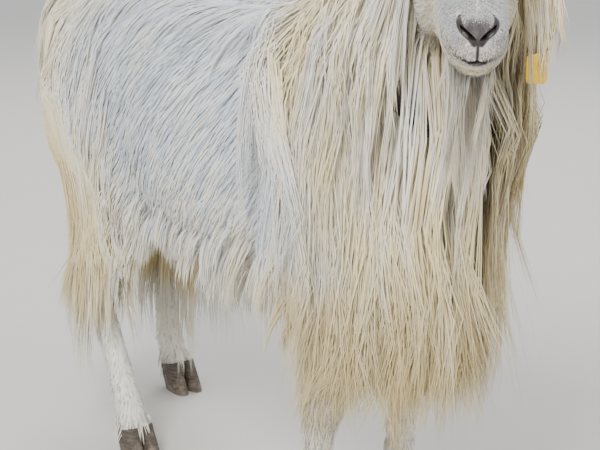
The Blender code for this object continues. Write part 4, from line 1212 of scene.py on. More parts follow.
def strand_mesh(name, paths, outs, widths, own, roots_map, thick, soft):
    """One piece of strands. Its own number, place along and place across are marked on each strand."""
    count, length, _ = paths.shape
    rings = length - 1
    along = unit(np.gradient(paths, axis=1))
    across = unit(np.cross(along, outs))
    rise = np.cross(across, along)
    wide = widths[:, :, None, None]
    corners = np.stack([across * -0.5, rise * thick, across * 0.5], axis=2)[:, :rings] * wide
    bodies = (paths[:, :rings, None] + corners).reshape(count, rings * 3, 3)
    points = np.concatenate([bodies, paths[:, -1:]], axis=1)

    faces, under = [(0, 2, 1)], [True]
    for ring in range(rings - 1):
        for k in range(3):
            a, b = ring * 3 + k, ring * 3 + (k + 1) % 3
            faces += [(a, b, b + 3), (a, b + 3, a + 3)]
            under += [k == 2] * 2
    tip, last = rings * 3, (rings - 1) * 3
    faces += [(last + k, last + (k + 1) % 3, tip) for k in range(3)]
    under += [False, False, True]
    per_strand = rings * 3 + 1
    loops = (np.array(faces)[None] + np.arange(count)[:, None, None] * per_strand).reshape(-1)

    place = np.append(np.repeat(np.linspace(0, 1, length)[:rings], 3), 1.0)
    side = np.append(np.tile((0.0, 0.5, 1.0), rings), 0.5)
    facts = np.empty((count, per_strand, 3))
    facts[..., 0], facts[..., 1], facts[..., 2] = own[:, None], place, side
    spread = np.stack([side - 0.5, place - 0.5], axis=1) * PATCH
    flat = np.clip(roots_map[:, None] + spread[None], 0.0005, 0.9995).reshape(-1, 2)

    mesh = bpy.data.meshes.new(name)
    mesh.vertices.add(count * per_strand)
    mesh.vertices.foreach_set("co", points.ravel())
    mesh.loops.add(len(loops))
    mesh.loops.foreach_set("vertex_index", loops)
    mesh.polygons.add(len(loops) // 3)
    mesh.polygons.foreach_set("loop_start", np.arange(0, len(loops), 3))
    mesh.update(calc_edges=True)
    mesh.uv_layers.new(name=MAP).data.foreach_set("uv", flat[loops].ravel())
    mark(mesh, "strand", facts)
    if soft:
        above, below = (soft_normals(outs, across, rings, way)[loops] for way in (1, -1))
        below_loops = np.tile(np.repeat(under, 3), count)[:, None]
        mesh.normals_split_custom_set(np.where(below_loops, below, above))
    made = bpy.data.objects.new(name, mesh)
    bpy.context.scene.collection.objects.link(made)
    return made


def soft_normals(outs, across, rings, way):
    """Normals that let strands side by side shade as one coat: nearly those of its outer or inner surface."""
    lean = np.array((-0.55, 0.0, 0.55))[None, None, :, None]
    sides = unit(outs[:, :rings, None] * way + across[:, :rings, None] * lean)
    normals = sides.reshape(len(outs), rings * 3, 3)
    return np.concatenate([normals, outs[:, -1:] * way], axis=1).reshape(-1, 3)


def combed(hide, growth, chance):
    """Locks of long hair: guide paths over the skin, and the strands that gather round each.

    Gives what strand_pieces takes: paths, outward directions, widths, the strands' own numbers and map places.
    """
    sizes = bpy.context.scene.goat_sizes
    roots, normals, _ = hide.roots(growth["where"], growth["locks"], chance)
    ways, lengths = growth["lie"](roots, normals), growth["length"](roots, normals)
    ways = ways + chance.normal(0, growth.get("sway", 0.07), ways.shape)
    inwards = np.minimum(dot(ways, normals), 0)
    ways = unit(ways - normals * inwards[:, None])
    lengths = lengths * chance.uniform(*growth.get("vary", (0.88, 1.12)), len(roots))
    lift = growth["lift"]
    lifts = (lift(roots) if callable(lift) else lift) * chance.uniform(0.25, 1.0, len(roots))
    drop, pull = growth.get("drop", 0.45), growth.get("pull", straight_down)
    guides, outs = lie_paths(hide, roots, normals, ways, lengths, lifts, drop, pull, GUIDE_STEPS)
    drift = np.clip(chance.normal(0, 1, (len(roots), 1, 3)), -1.6, 1.6) * (1, 1, 0.2)
    drift = drift * growth.get("drift", 0.004)
    guides = guides + drift * (np.linspace(0, 1, GUIDE_STEPS + 1) ** 1.7)[None, :, None]

    each = growth["strands"]
    count = len(roots) * each
    tone = np.repeat(chance.random(len(roots)), each) * 0.45 + chance.random(count) * 0.55
    swing = np.repeat(chance.uniform(0, 2 * np.pi, len(roots)), each) + chance.normal(0, 0.6, count)
    guides, outs, lengths = (np.repeat(values, each, axis=0) for values in (guides, outs, lengths))
    spread = growth["spread"]
    angle, reach = chance.uniform(0, 2 * np.pi, count), np.sqrt(chance.random(count)) * spread
    along = unit(guides[:, 2] - guides[:, 0])
    across = unit(np.cross(along, outs[:, 0]))
    high = unit(np.cross(across, along))
    offset = across * (np.cos(angle) * reach)[:, None] + high * (np.sin(angle) * reach * 0.5)[:, None]
    offset += along * chance.normal(0, spread * 0.5, count)[:, None]

    # Each strand follows its guide for a share of its length, gathers to it and waves across it
    share = chance.uniform(0.66, 1.0, count) ** 0.6
    places = STRAND_PLACES[None] * share[:, None]
    paths, faced = at_places(guides, places), unit(at_places(outs, places))
    gather = growth.get("gather", 0.62)
    stray = chance.random(count) < 0.10
    close = 1 - np.where(stray, -0.5, gather)[:, None] * STRAND_PLACES[None] ** 0.8
    waves = swing[:, None] + STRAND_PLACES[None] * lengths[:, None] * WAVES
    wave = np.sin(waves) * STRAND_PLACES[None] * growth.get("wave", 0.0035)
    wave = wave * chance.uniform(0.3, 1.4, (count, 1))
    paths = paths + offset[:, None] * close[..., None] + across[:, None] * wave[..., None]

    # Strands are drawn in to within close of the skin, except at the heights where they hang free
    if "close" in growth:
        near, _ = hide.nearest(paths.reshape(-1, 3))
        away = paths - near.reshape(paths.shape)
        least = np.minimum(1, growth["close"] / np.maximum(np.linalg.norm(away, axis=2, keepdims=True), 1e-6))
        share = ease(paths[..., 2:], *growth.get("free", (0.30, 0.58)))
        paths = paths - away * (1 - least) * share

    # Roots are sunk into the skin, and the next ring lies close on it
    near, out = hide.nearest(paths[:, 0])
    paths[:, 0] = near - out * 0.0025
    lying = np.maximum(0, dot(paths[:, 1] - near, out))
    paths[:, 1] = near + out * np.minimum(lying, 0.004)[:, None] + along * (lengths * 0.03)[:, None]
    faced[:, 0] = faced[:, 1] = out
    widths = sizes.strand_width * growth.get("width", 1.0) * chance.uniform(0.6, 1.35, count)
    return paths, faced, widths[:, None] * STRAND_GIRTHS[None], tone, hide.on_map(paths[:, 0])


def side_of(points):
    """1 on the left and -1 on the right, with a parting that isn't quite straight."""
    return np.where(points[:, 1] + 0.004 * np.sin(points[:, 0] * 60) > 0, 1.0, -1.0)


def flow(points, back, out, down=1.0):
    """A lie that goes back, out to the side and down by those shares."""
    ways = np.zeros_like(points)
    ways[:, 0] = -back
    ways[:, 1] = side_of(points) * out
    ways[:, 2] = -np.asarray(down)
    return ways


def falling(back, out, down=1.0):
    """A lie that is the same all over a growth."""
    return lambda points, normals: flow(points, back, out, down)


def even(value):
    """A length that is the same all over a growth."""
    return lambda points, normals: np.full(len(points), value)


def up_facing(normals, steep):
    """How far points face up, times steep."""
    return steep * np.clip(normals[:, 2], 0, 1)


def of_head(points):
    """Which points belong to the head and not to what lies below it."""
    s, left, up = in_head(points).T
    return (s > 0.012) & (up > -0.128) & (np.abs(left) < 0.075)


def in_front(points):
    """How far a point is in front of the line where the mane starts, from the withers to the elbow."""
    x, _, z = points.T
    return x - (0.205 + (0.752 - z) * 0.53)


def above_collar(points):
    """How far a point is from the collar's plane towards the head."""
    return (points - np.array(COLLAR_CENTRE)) @ np.array((math.sin(COLLAR_SLOPE), 0, math.cos(COLLAR_SLOPE)))


# Where each growth has its roots: 0 where it has none and more where it is denser


def is_mane(points, normals):
    by_collar = ease(above_collar(points), 0.0, 0.02) * (1 + ease(normals[:, 2], 0.2, 0.7))
    grows = ease(in_front(points), -0.004, 0.026) * ease(points[:, 2], 0.435, 0.465)
    return grows * ~of_head(points) * (1 + 2.8 * by_collar)


def is_haunch(points, normals):
    x, y, z = points.T
    low = ease(z, 0.33, 0.37)
    inner = ease(np.abs(y), 0.055, 0.075) + ease(z, 0.52, 0.56)
    return ease(-(x + 0.175 + 0.25 * (z - 0.5)), -0.05, 0.07) * low * np.minimum(inner, 1) * (x > -0.475)


def is_fringe(points, normals):
    x, y, z = points.T
    low = (1 - ease(z, 0.43, 0.47)) * ease(z, 0.325, 0.345)
    return low * ease(x, -0.20, -0.16) * (1 - ease(x, 0.20, 0.26)) * ease(np.abs(y), 0.02, 0.06)


def is_back(points, normals):
    x, y, z = points.T
    ridge = (1 - ease(np.abs(y), 0.022, 0.055)) * ease(normals[:, 2], 0.5, 0.8)
    return ridge * ease(x, -0.47, -0.42) * (x < 0.24) * (z > 0.6)


def is_tail(points, normals):
    return (points[:, 0] < -0.485) * (points[:, 2] > 0.5) * 1.0


def is_beard(points, normals):
    s, left, up = in_head(points).T
    underside = 1 - ease(normals @ np.array(head_axes()[2]), -0.80, -0.45)
    jaw = ease(s, 0.03, 0.07) * (1 - ease(s, 0.226, 0.240)) * underside
    return jaw * (1 - ease(np.abs(left), 0.018, 0.028)) * (up < -0.04) * of_head(points)


def is_cheek(points, normals):
    s, left, up = in_head(points).T
    behind_jaw = (1 - ease(s, 0.030, 0.060)) * ease(s, -0.03, 0.0)
    return behind_jaw * ease(np.abs(left), 0.025, 0.04) * (up < -0.03) * (up > -0.128)


def is_forelock(points, normals):
    s, left, up = in_head(points).T
    return (s > 0.004) * (s < 0.062) * (np.abs(left) < 0.020) * (up > 0.008) * 1.0


def is_brisket(points, normals):
    x, y, z = points.T
    return (x > 0.24) * (z < 0.47) * (z > 0.37) * (np.abs(y) < 0.07) * (normals[:, 2] < 0.2) * 1.0


def is_pastern(points, normals):
    z = points[:, 2]
    return ease(z, 0.036, 0.044) * (1 - ease(z, 0.055, 0.070)) * (np.abs(normals[:, 2]) < 0.8)


def is_feather(points, normals):
    """The rear edges of the forelegs and of the hind cannons."""
    x, _, z = points.T
    fore = (x > 0.12) * (z < 0.37) * (z > 0.10)
    hind = (x < 0.05) * (z < 0.34) * (z > 0.20)
    return (fore | hind) * ease(-normals[:, 0], 0.35, 0.75)


def growths():
    """The long coat, region by region: what combed reads, and each growth's slot."""
    sizes = bpy.context.scene.goat_sizes
    face_axis = np.array(head_axes()[0])

    def mane_length(points, normals):
        z = points[:, 2]
        tips = 0.210 + 0.26 * (points[:, 0] - 0.30)
        return np.clip(np.minimum(z - tips, sizes.mane_length - 0.22 * np.maximum(z - 0.6, 0)), 0.14, None)

    def mane_pull(roots, here):
        """The rear edge falls a little forward at the withers and swings back again near its tips."""
        rear = 1 - ease(in_front(roots), 0.02, 0.16)
        z = here[:, 2]
        swing = 0.34 * ease(z, 0.50, 0.60) - 0.70 * (1 - ease(z, 0.27, 0.39))
        inwards = np.where(roots[:, 1] > 0, 0.10, 0.02)
        return np.stack([rear * swing, -side_of(roots) * inwards, roots[:, 0] * 0 - 1], axis=1)

    def mane_lie(points, normals):
        over_strap = ease(above_collar(points), 0.0, 0.02) * ease(normals[:, 2], 0.1, 0.7)
        return flow(points, 0.05 + 0.95 * over_strap, 0.08 + up_facing(normals, 0.7) * (1 - 0.4 * over_strap))

    def haunch_length(points, normals):
        x, _, z = points.T
        share = 0.34 + 0.66 * ease(-(x + 0.25 * (z - 0.5)), 0.14, 0.32)
        return np.clip(np.minimum(z - 0.065, sizes.haunch_length) * share, 0.07, None)

    def haunch_pull(roots, here):
        """The hair at the very back hangs a little inwards."""
        rear = ease(-roots[:, 0], 0.36, 0.44)
        return np.stack([rear * 0.12, -side_of(roots) * rear * 0.10, roots[:, 0] * 0 - 1], axis=1)

    def fringe_length(points, normals):
        return sizes.fringe_length * (0.55 + 0.45 * ease(points[:, 0], -0.02, 0.18))

    def mane_lift(points):
        """Least at the mane's rear edge and beside the head."""
        return 0.005 + 0.028 * ease(in_front(points), 0.0, 0.16) * (1 - 0.5 * ease(points[:, 2], 0.70, 0.80))

    def haunch_lie(points, normals):
        return flow(points, 0.22, 0.04 + up_facing(normals, 0.7))

    def forelock_lie(points, normals):
        return np.tile(face_axis, (len(points), 1)) + 0.25 * flow(points, 0, 1.0, 0)

    return {
        "mane": dict(
            where=is_mane, locks=920, strands=22, spread=0.0175, lift=mane_lift, length=mane_length,
            lie=mane_lie, slot="coat", drop=1.0, sway=0.06, gather=0.46, wave=0.019, drift=0.018,
            pull=mane_pull, close=0.040,
        ),
        "haunch": dict(
            where=is_haunch, locks=500, strands=16, spread=0.0155, lift=0.003, length=haunch_length,
            lie=haunch_lie, slot="coat", drop=0.9, sway=0.05, gather=0.40, wave=0.009, drift=0.007,
            pull=haunch_pull, close=0.013, free=(0.16, 0.32), vary=(0.70, 1.12),
        ),
        "belly_fringe": dict(
            where=is_fringe, locks=180, strands=14, spread=0.0120, lift=0.006, length=fringe_length,
            lie=falling(0.70, 0.04, 0.85), slot="coat", drop=0.35, gather=0.45, vary=(0.6, 1.15),
        ),
        "back": dict(
            where=is_back, locks=150, strands=12, spread=0.0130, lift=0.004, length=even(sizes.back_length),
            lie=falling(0.55, 0.85, 0.30), slot="coat", drop=0.6,
        ),
        "tail_hair": dict(
            where=is_tail, locks=90, strands=12, spread=0.0085, lift=0.004, length=even(0.110),
            lie=falling(0.40, 0.05), slot="tail_coat", drop=0.5, wave=0.005, drift=0.008,
        ),
        "beard": dict(
            where=is_beard, locks=52, strands=14, spread=0.0085, lift=0.008, length=even(sizes.beard_length),
            lie=falling(0.05, 0.05), slot="face_coat", width=0.7, drop=1.2, wave=0.008, drift=0.016,
            vary=(0.35, 1.2),
        ),
        "cheek_hair": dict(
            where=is_cheek, locks=150, strands=15, spread=0.0090, lift=0.018, length=even(0.240),
            lie=falling(0.05, 0.12), slot="face_coat", width=0.8, drop=1.0, wave=0.007, drift=0.014,
            vary=(0.6, 1.1),
        ),
        "forelock": dict(
            where=is_forelock, locks=30, strands=12, spread=0.0050, lift=0.005, length=even(0.075),
            lie=forelock_lie, slot="face_coat", width=0.7, drop=0.10,
        ),
        "brisket_hair": dict(
            where=is_brisket, locks=80, strands=12, spread=0.0120, lift=0.010, length=even(0.150),
            lie=falling(0.10, 0.05), slot="coat",
        ),
        "pastern_hair": dict(
            where=is_pastern, locks=150, strands=6, spread=0.0045, lift=0.003, length=even(0.034),
            lie=falling(0.0, 0.0), slot="leg_coat", width=0.6, drop=0.5, wave=0.001, vary=(0.6, 1.1),
        ),
        "feathers": dict(
            where=is_feather, locks=160, strands=7, spread=0.0060, lift=0.004, length=even(0.045),
            lie=falling(0.45, 0.0), slot="leg_coat", width=0.6, wave=0.001,
        ),
    }


def short_strands(hide, where, count, lie, length, width, stand, chance, low_ring=False):
    """Single tufts that lie close on the skin: root, middle and tip, and a low ring where they are longer."""
    roots, normals, places = hide.roots(where, count, chance)
    ways = lie(roots, normals)
    ways = ways + chance.normal(0, 0.10, ways.shape)
    ways = unit(ways - normals * dot(ways, normals)[:, None])
    lengths = length(roots, normals) * chance.uniform(0.7, 1.2, count)
    middle = roots + ways * (lengths * 0.5)[:, None]
    near, out = hide.nearest(middle)
    middle = near + out * (0.0012 + stand * lengths * 0.6)[:, None]
    tips = middle + (unit(middle - roots) + ways - out * 0.10) * (lengths * 0.25)[:, None]
    near, tip_out = hide.nearest(tips)
    tips = near + tip_out * (0.0010 + stand * lengths)[:, None]
    paths = [roots - normals * 0.0015, (roots * 0.65 + middle * 0.35) + normals * 0.0010, middle, tips]
    outs = [normals, normals, out, tip_out]
    girths = [0.8, 1.0, 0.8]
    if not low_ring:
        del paths[1], outs[1], girths[1]
    widths = width * chance.uniform(0.7, 1.3, count)[:, None] * np.array(girths)
    return np.stack(paths, axis=1), np.stack(outs, axis=1), widths, chance.random(count), places


def is_sleek(points, normals):
    """Flank, shoulder and the body between the long growths, also under their roots."""
    long = np.maximum(is_mane(points, normals), is_haunch(points, normals))
    return (1 - 0.75 * long) * (1 - leg_share(points)) * ~of_head(points)


def is_shank(points, normals):
    return leg_share(points) * (points[:, 0] > -0.49)


def is_face(points, normals):
    s, left, up = in_head(points).T
    bare = np.zeros(len(points))
    for side in (RIGHT, LEFT):
        bare = np.maximum(bare, slit_distance(points, side) < 0.0035)
    bare = np.maximum(bare, bare_and_painted_shade(points))
    bare = np.maximum(bare, ease(nose_dark(points), 0.35, 0.75))
    bare = np.maximum(bare, (1 - ease(slit_reach(left, up), 0.0034, 0.0048)) * (s > 0.215))
    mouth = (np.abs(up - MOUTH_FRONT - 0.001) < 0.0042) & (np.abs(left) < 0.016) & (s > 0.2)
    lip = ease(s, 0.225, 0.24) * (1 - ease(np.abs(left), 0.012, 0.020)) * (1 - ease(up, -0.020, -0.012))
    inside = normals @ np.array(head_axes()[0]) < -0.6
    spread = (1 + 2.5 * ease(s, 0.14, 0.2)) * (1 - 0.55 * lip)
    return of_head(points) * (1 - bare) * ~mouth * ~(inside & (s > 0.05)) * spread


def face_lie(points, normals):
    """Back and down over head and cheeks, and forward from the whorl on the bridge of the nose."""
    s, left, up = in_head(points).T
    along, out, high = (np.array(axis) for axis in head_axes())
    ahead = ease(s, 0.125, 0.165) * 2 - 1
    return (
        along * ahead[:, None]
        + out * (np.sign(left) * 0.45 * (up > -0.03))[:, None]
        - high * (0.35 + 0.4 * (np.abs(left) > 0.02))[:, None]
    )


def face_length(points, normals):
    s = in_head(points)[:, 0]
    return 0.0048 + 0.008 * (1 - ease(s, 0.13, 0.23)) + 0.010 * (1 - ease(s, 0.0, 0.08))


# Pieces


class GoatPiece:
    """What the operators have in common."""

    bl_options = {"REGISTER", "UNDO"}

    def execute(self, context):
        self.make(context.scene.goat_sizes)
        return {"FINISHED"}


def mark_bare(obj):
    """Marks the points inside the mouth, the nostrils and the lids, and the dark skin of the nose. The first mark
    is painted shade in the nostrils and along the mouth line.
    """
    points = array_of(obj.data.vertices, "co", 3)
    mark(obj.data, "bare", np.stack([bare_and_painted_shade(points), nose_dark(points), points[:, 0] * 0], axis=1))


def bare_and_painted_shade(points):
    """1 in the nostrils and between the lips, and part of it on the rims of the lids. The skin paints these
    places dark: painted shade in the nostrils and along the mouth line.
    """
    s, left, up = in_head(points).T
    made = np.zeros(len(points))
    for side in (RIGHT, LEFT):
        made = np.maximum(made, 0.85 * (1 - ease(slit_distance(points, side), 0.0005, 0.0022)))
    near = slit_reach(left, up)
    made = np.maximum(made, (1 - ease(near, 0.0022, 0.0034)) * (s > 0.225))
    level = MOUTH_FRONT + (MOUTH_CORNER - MOUTH_FRONT) * np.clip(np.abs(left) / 0.034, 0, 1) ** 2
    thick = 0.0010 + 0.0012 * (1 - ease(np.abs(left), 0.006, 0.020))
    lips = (1 - ease(np.abs(up - level) - thick, 0.0, 0.0018)) * ease(s, 0.190, 0.200)
    return np.maximum(made, lips * 0.9)


def slit_reach(left, up):
    """How far a place on the nose is from the nearer nostril's slit."""
    reach = np.full(len(left), 1.0)
    for side in (RIGHT, LEFT):
        across, high = left - side * NOSTRIL[0], up - NOSTRIL[1]
        length = across * side * NOSTRIL_SLANT[0] + high * NOSTRIL_SLANT[1]
        wide = across * side * NOSTRIL_SLANT[1] - high * NOSTRIL_SLANT[0]
        past = np.maximum(np.abs(length) - NOSTRIL_LENGTH / 2, 0)
        reach = np.minimum(reach, np.hypot(wide, past))
    return reach


def nose_dark(points):
    """The dark skin round the slits and between their lower ends, and down the cleft of the lip."""
    s, left, up = in_head(points).T
    side = np.abs(left)
    around = 1 - ease(slit_reach(left, up), 0.0012, 0.0058)
    bottom = NOSTRIL[1] - NOSTRIL_LENGTH / 2 * NOSTRIL_SLANT[1]
    slits_between = 1 - ease(side - (up - bottom) * 0.95, 0.001, 0.006)
    slits_between *= (1 - ease(up, bottom + 0.008, bottom + 0.025)) * ease(up, bottom - 0.004, bottom)
    cleft = (1 - ease(side, 0.0006, 0.0026)) * ease(up, MOUTH_FRONT, MOUTH_FRONT + 0.004)
    cleft = cleft * (up < bottom + 0.004)
    return np.maximum(np.maximum(around, slits_between * 0.9), cleft) * ease(s, 0.225, 0.240)


class GOAT_OT_skin(GoatPiece, bpy.types.Operator):
    """Body, neck, legs, tail and head as one skin, with lids, nostrils, lips and folds"""

    bl_idname = "goat.skin"
    bl_label = "Skin"

    def make(self, sizes):
        skin = boolean(body_skin(sizes), "UNION", [head_skin(sizes)], "MANIFOLD")
        mark_bare(skin)
        nodes = ["head", "neck", "shoulders", "barrel", "hindquarters", "tail"]
        nodes += [on_side(side, leg) for leg in ("foreleg", "hind_leg") for side in (RIGHT, LEFT)]
        finished(skin, "skin", "coat", skin_looks(), nodes)


def ear_stations(side, steps):
    """Along the ear: its middle, the ways across, to the cup and on, its half width and the cup's depth."""
    along, left, _ = head_axes()
    out = left * side
    here = beside_head(side, EAR_ROOT)
    stations = []
    for i in range(steps):
        t = i / (steps - 1)
        fall = min(1, t / 0.32)
        way = (out * (1 - fall) - UPWARD * fall + along * 0.16 * fall).normalized()
        across = way.cross(along * 0.95 + out * 0.30).normalized()
        swell = math.sin(math.pi * min(1, 0.12 + t * 0.88)) ** 0.8
        half = EAR_HALF_WIDTH * (0.42 + 0.58 * swell) * (1 - 2.0 * max(0, t - 0.75))
        stations.append((here, across, across.cross(way).normalized(), way, half, EAR_CUP * (1 - 0.5 * t)))
        here = here + way * EAR_LENGTH / (steps - 1)
    return stations


class GOAT_OT_ears(GoatPiece, bpy.types.Operator):
    """Hanging ears with a cupped lining, the fur on them and a fringe along their edges"""

    bl_idname = "goat.ears"
    bl_label = "Ears"

    def make(self, sizes):
        chance = np.random.default_rng(sizes.seed + EAR_SEED)
        looks, hair = ear_looks(), long_hair("ear hair")
        for side in (RIGHT, LEFT):
            ear = self.ear(side)
            finished(ear, on_side(side, "ear_skin"), "face_coat", looks, [on_side(side, "ear")])
            self.fur(ear, side, hair, chance)

    def ear(self, side):
        """An ear whose points are marked with their place along it and their share of the lining."""
        rings, facts = [], []
        for i, (here, across, face, _, half, cup) in enumerate(ear_stations(side, EAR_STEPS)):
            front, back, lining = [], [], []
            along = i / (EAR_STEPS - 1)
            for k in range(EAR_POINTS):
                u = -1 + 2 * k / (EAR_POINTS - 1)
                edge = here + across * half * u + face * cup * u * u
                vein = 0.0006 * math.sin(u * 9 + i * 0.35) * (1 - u * u)
                front.append(edge + face * (EAR_THICKNESS * 0.3 + vein))
                back.append(edge - face * EAR_THICKNESS * (0.7 - 0.45 * u * u))
                lining.append((along, max(0, 1 - 1.1 * abs(u)), 0))
            rings.append(front + back[::-1])
            facts += lining + [(along, 0, 0)] * EAR_POINTS
        ear = tube("ear", rings)
        mark(ear.data, "ear", facts)
        return ear

    def fur(self, ear, side, hair, chance):
        hide = Hide(ear)
        facing = np.array(ear_stations(side, 5)[2][2])
        top, bottom = hide.points[:, 2].max(), hide.points[:, 2].min()

        def outside(points, normals):
            return 0.12 + 0.88 * (1 - ease(normals @ facing, -0.2, 0.5))

        def on_edge(points, normals):
            high = ease(points[:, 2], bottom + (top - bottom) * 0.30, bottom + (top - bottom) * 0.50)
            return high * ease(normals @ facing, -0.6, 0.2)

        def fringe_length(points, normals):
            return 0.085 + 0.5 * (points[:, 2] - bottom)

        fur = short_strands(hide, outside, 1300, falling(0, 0.25), even(0.014), 0.0018, 0.16, chance)
        strand_pieces(on_side(side, "ear_fur"), "face_coat", hair, *fur)
        fringe = dict(
            where=on_edge, locks=26, strands=11, spread=0.0070, lift=0.006, lie=falling(0.0, 0.06),
            length=fringe_length, vary=(0.5, 1.0), width=0.7, drop=1.0, wave=0.006, gather=0.4,
        )
        strand_pieces(on_side(side, "ear_fringe"), "face_coat", hair, *combed(hide, fringe, chance))


def collar_guard():
    """A sleeve from the neck over the collar and back, so that the hair doesn't slip below the strap."""
    slope = Matrix.Rotation(COLLAR_SLOPE, 3, "Y")
    rings = []
    for rise, share in GUARD:
        wide, deep = ((radius + COLLAR_THICKNESS + 0.001) * share for radius in COLLAR_RADII)
        centre = COLLAR_CENTRE + slope @ (UPWARD * rise)
        rings.append(section(centre, slope @ AHEAD, slope @ ACROSS, wide, deep, deep, 48))
    return tube("guard", rings)


class GOAT_OT_long_coat(GoatPiece, bpy.types.Operator):
    """The long hair, from the mane and the beard to the haunches, the belly fringe and the feathers"""

    bl_idname = "goat.long_coat"
    bl_label = "Long coat"

    def make(self, sizes):
        chance = np.random.default_rng(sizes.seed)
        skin = bpy.data.objects["skin"]
        guard = collar_guard()
        hide = Hide(skin, bpy.data.objects["collar_strap"], guard)
        bpy.data.objects.remove(guard)
        hair = long_hair("long hair")
        for name, growth in growths().items():
            strand_pieces(name, growth["slot"], hair, *combed(hide, growth, chance))


class GOAT_OT_short_coat(GoatPiece, bpy.types.Operator):
    """The sleek hair of flank and shoulder, and the short fur of shanks and face"""

    bl_idname = "goat.short_coat"
    bl_label = "Short coat"

    def make(self, sizes):
        chance = np.random.default_rng(sizes.seed + SHORT_SEED)
        hide = Hide(bpy.data.objects["skin"])
        # The short hair and the face fur take the bluish painted shade, at the shares 0.75 and 0.60 on their
        # darkened strands
        hair, fur = long_hair("short hair", 0.75, shades().short_hair_painted_shade), long_hair("face fur", 0.60, shades().short_hair_painted_shade)

        def sleek_lie(points, normals):
            return flow(points, 0.62, 0.06 + up_facing(normals, 0.5), 0.85)

        def shank_length(points, normals):
            z = points[:, 2]
            return 0.012 + 0.010 * ease(z, 0.10, 0.30) + 0.016 * (1 - ease(z, 0.060, 0.085))

        # Name, slot, where, how many, lie, length, width, how far they stand off, whether they are long tufts
        coats = (
            ("flank_hair", "coat", is_sleek, 12600, sleek_lie, even(sizes.flank_length), 0.0026, 0.04, True),
            ("shank_fur", "leg_coat", is_shank, 8000, falling(0.12, 0), shank_length, 0.0020, 0.10, False),
            ("face_fur", "face_coat", is_face, 11000, face_lie, face_length, 0.0010, 0.16, False),
        )
        for name, slot, where, count, lie, span, width, stand, longer in coats:
            on_face = where is is_face
            tufts = short_strands(hide, where, count, lie, span, width, stand, chance, longer)
            strand_pieces(name, slot, fur if on_face else hair, *tufts, thick=0.35, soft=not on_face)


class GOAT_OT_eyes(GoatPiece, bpy.types.Operator):
    """Moist amber eyes with level pupils and a bulging clear front"""

    bl_idname = "goat.eyes"
    bl_label = "Eyes"

    def make(self, sizes):
        looks = eye_looks()
        for side in (RIGHT, LEFT):
            centre, outward, slit, rise = eye_frame(side)
            bm = bmesh.new()
            bmesh.ops.create_uvsphere(bm, u_segments=48, v_segments=32, radius=EYE_RADIUS)
            for vert in bm.verts:
                away = vert.co.normalized().z
                vert.co *= 1 + CORNEA_BULGE * max(0, (away - 0.74) / 0.26)
            eye = from_bmesh("eye", bm)
            turn = Matrix((slit, rise, outward)).transposed().to_4x4()
            local = array_of(eye.data.vertices, "co", 3)
            eye.data.transform(Matrix.Translation(centre) @ turn)
            mark(eye.data, "gaze", local)
            if turn.determinant() < 0:
                eye.data.flip_normals()
            finished(eye, on_side(side, "eyeball"), "eyeball", looks, [on_side(side, "eye")])


class GOAT_OT_horns(GoatPiece, bpy.types.Operator):
    """Swept horns with a keel in front and growth rings that fade towards the tip"""

    bl_idname = "goat.horns"
    bl_label = "Horns"

    def make(self, sizes):
        looks = horn_looks()
        for side in (RIGHT, LEFT):
            finished(self.horn(side), on_side(side, "ringed_horn"), "horn", looks, [on_side(side, "horn")])

    def horn(self, side):
        """A horn whose points are marked with their place along it and how high their ring stands."""
        along, left, up = head_axes()
        out = left * side
        here = beside_head(side, HORN_ROOT)
        rings, facts = [], []
        for i in range(HORN_STEPS):
            t = i / (HORN_STEPS - 1)
            back, spread = (math.radians(between(ends, t)) for ends in (HORN_BACK, HORN_SPREAD))
            rearward = up * math.cos(back) - along * math.sin(back)
            way = rearward * math.cos(spread) + out * math.sin(spread)
            fore = (along * math.cos(back) + up * math.sin(back)).normalized()
            size = (1 - t) ** 0.72 * 0.95 + 0.05
            beat = t * HORN_RINGS + 0.5 * math.sin(t * 23)
            ridge = (0.5 + 0.5 * math.cos(2 * math.pi * beat)) ** 1.5 * (1 - t) ** 0.5
            girth = size * (0.965 + 0.055 * ridge)
            reach = (share * girth for share in HORN_GIRTH)
            rings.append(section(here, way.cross(fore), fore, *reach, HORN_SIDES, 1.8))
            facts += [(t, ridge, 0)] * HORN_SIDES
            here = here + way * HORN_LENGTH / (HORN_STEPS - 1)
        horn = tube("horn", rings)
        mark(horn.data, "horn", facts)
        return horn


class GOAT_OT_claws(GoatPiece, bpy.types.Operator):
    """The two claws of each foot, with worn edges"""

    bl_idname = "goat.claws"
    bl_label = "Claws"

    def make(self, sizes):
        looks = claw_looks()
        for side in (RIGHT, LEFT):
            feet = (
                ("fore", FORELEG[-1][0] + FORE_STEP[side], FORE_TRACK),
                ("hind", HIND_JOINTS[side][-1][0], HIND_TRACK),
            )
            for end, centre_x, track in feet:
                for half in (-1, 1):
                    place = "inner" if half == -side else "outer"
                    claw = self.claw(centre_x, side * track + half * (CLAW_HALF_WIDTH + 0.0006))
                    title = on_side(side, f"claw_{end}_{place}")
                    finished(claw, on_side(side, f"horn_claw_{end}_{place}"), "claw", looks, [title])

    def claw(self, centre_x, y):
        rings = [
            section((centre_x + ahead, y, z), ACROSS, AHEAD, CLAW_HALF_WIDTH * wide, deep, deep * 0.92, 28, 2.4)
            for z, ahead, deep, wide in resample(CLAW_ROWS, 16)
        ]
        blank = tube("blank", rings)
        bm = bmesh.new()
        bm.from_mesh(blank.data)
        bpy.data.objects.remove(blank)
        coronet = Vector((centre_x, 0, CORONET))
        upwards = Vector((-math.sin(CORONET_SLOPE), 0, math.cos(CORONET_SLOPE)))
        everything = [*bm.verts, *bm.edges, *bm.faces]
        bmesh.ops.bisect_plane(bm, geom=everything, plane_co=coronet, plane_no=upwards, clear_outer=True)
        bmesh.ops.holes_fill(bm, edges=[e for e in bm.edges if e.is_boundary])
        return bevelled(from_bmesh("claw", bm), 0.0012, 2, 50)


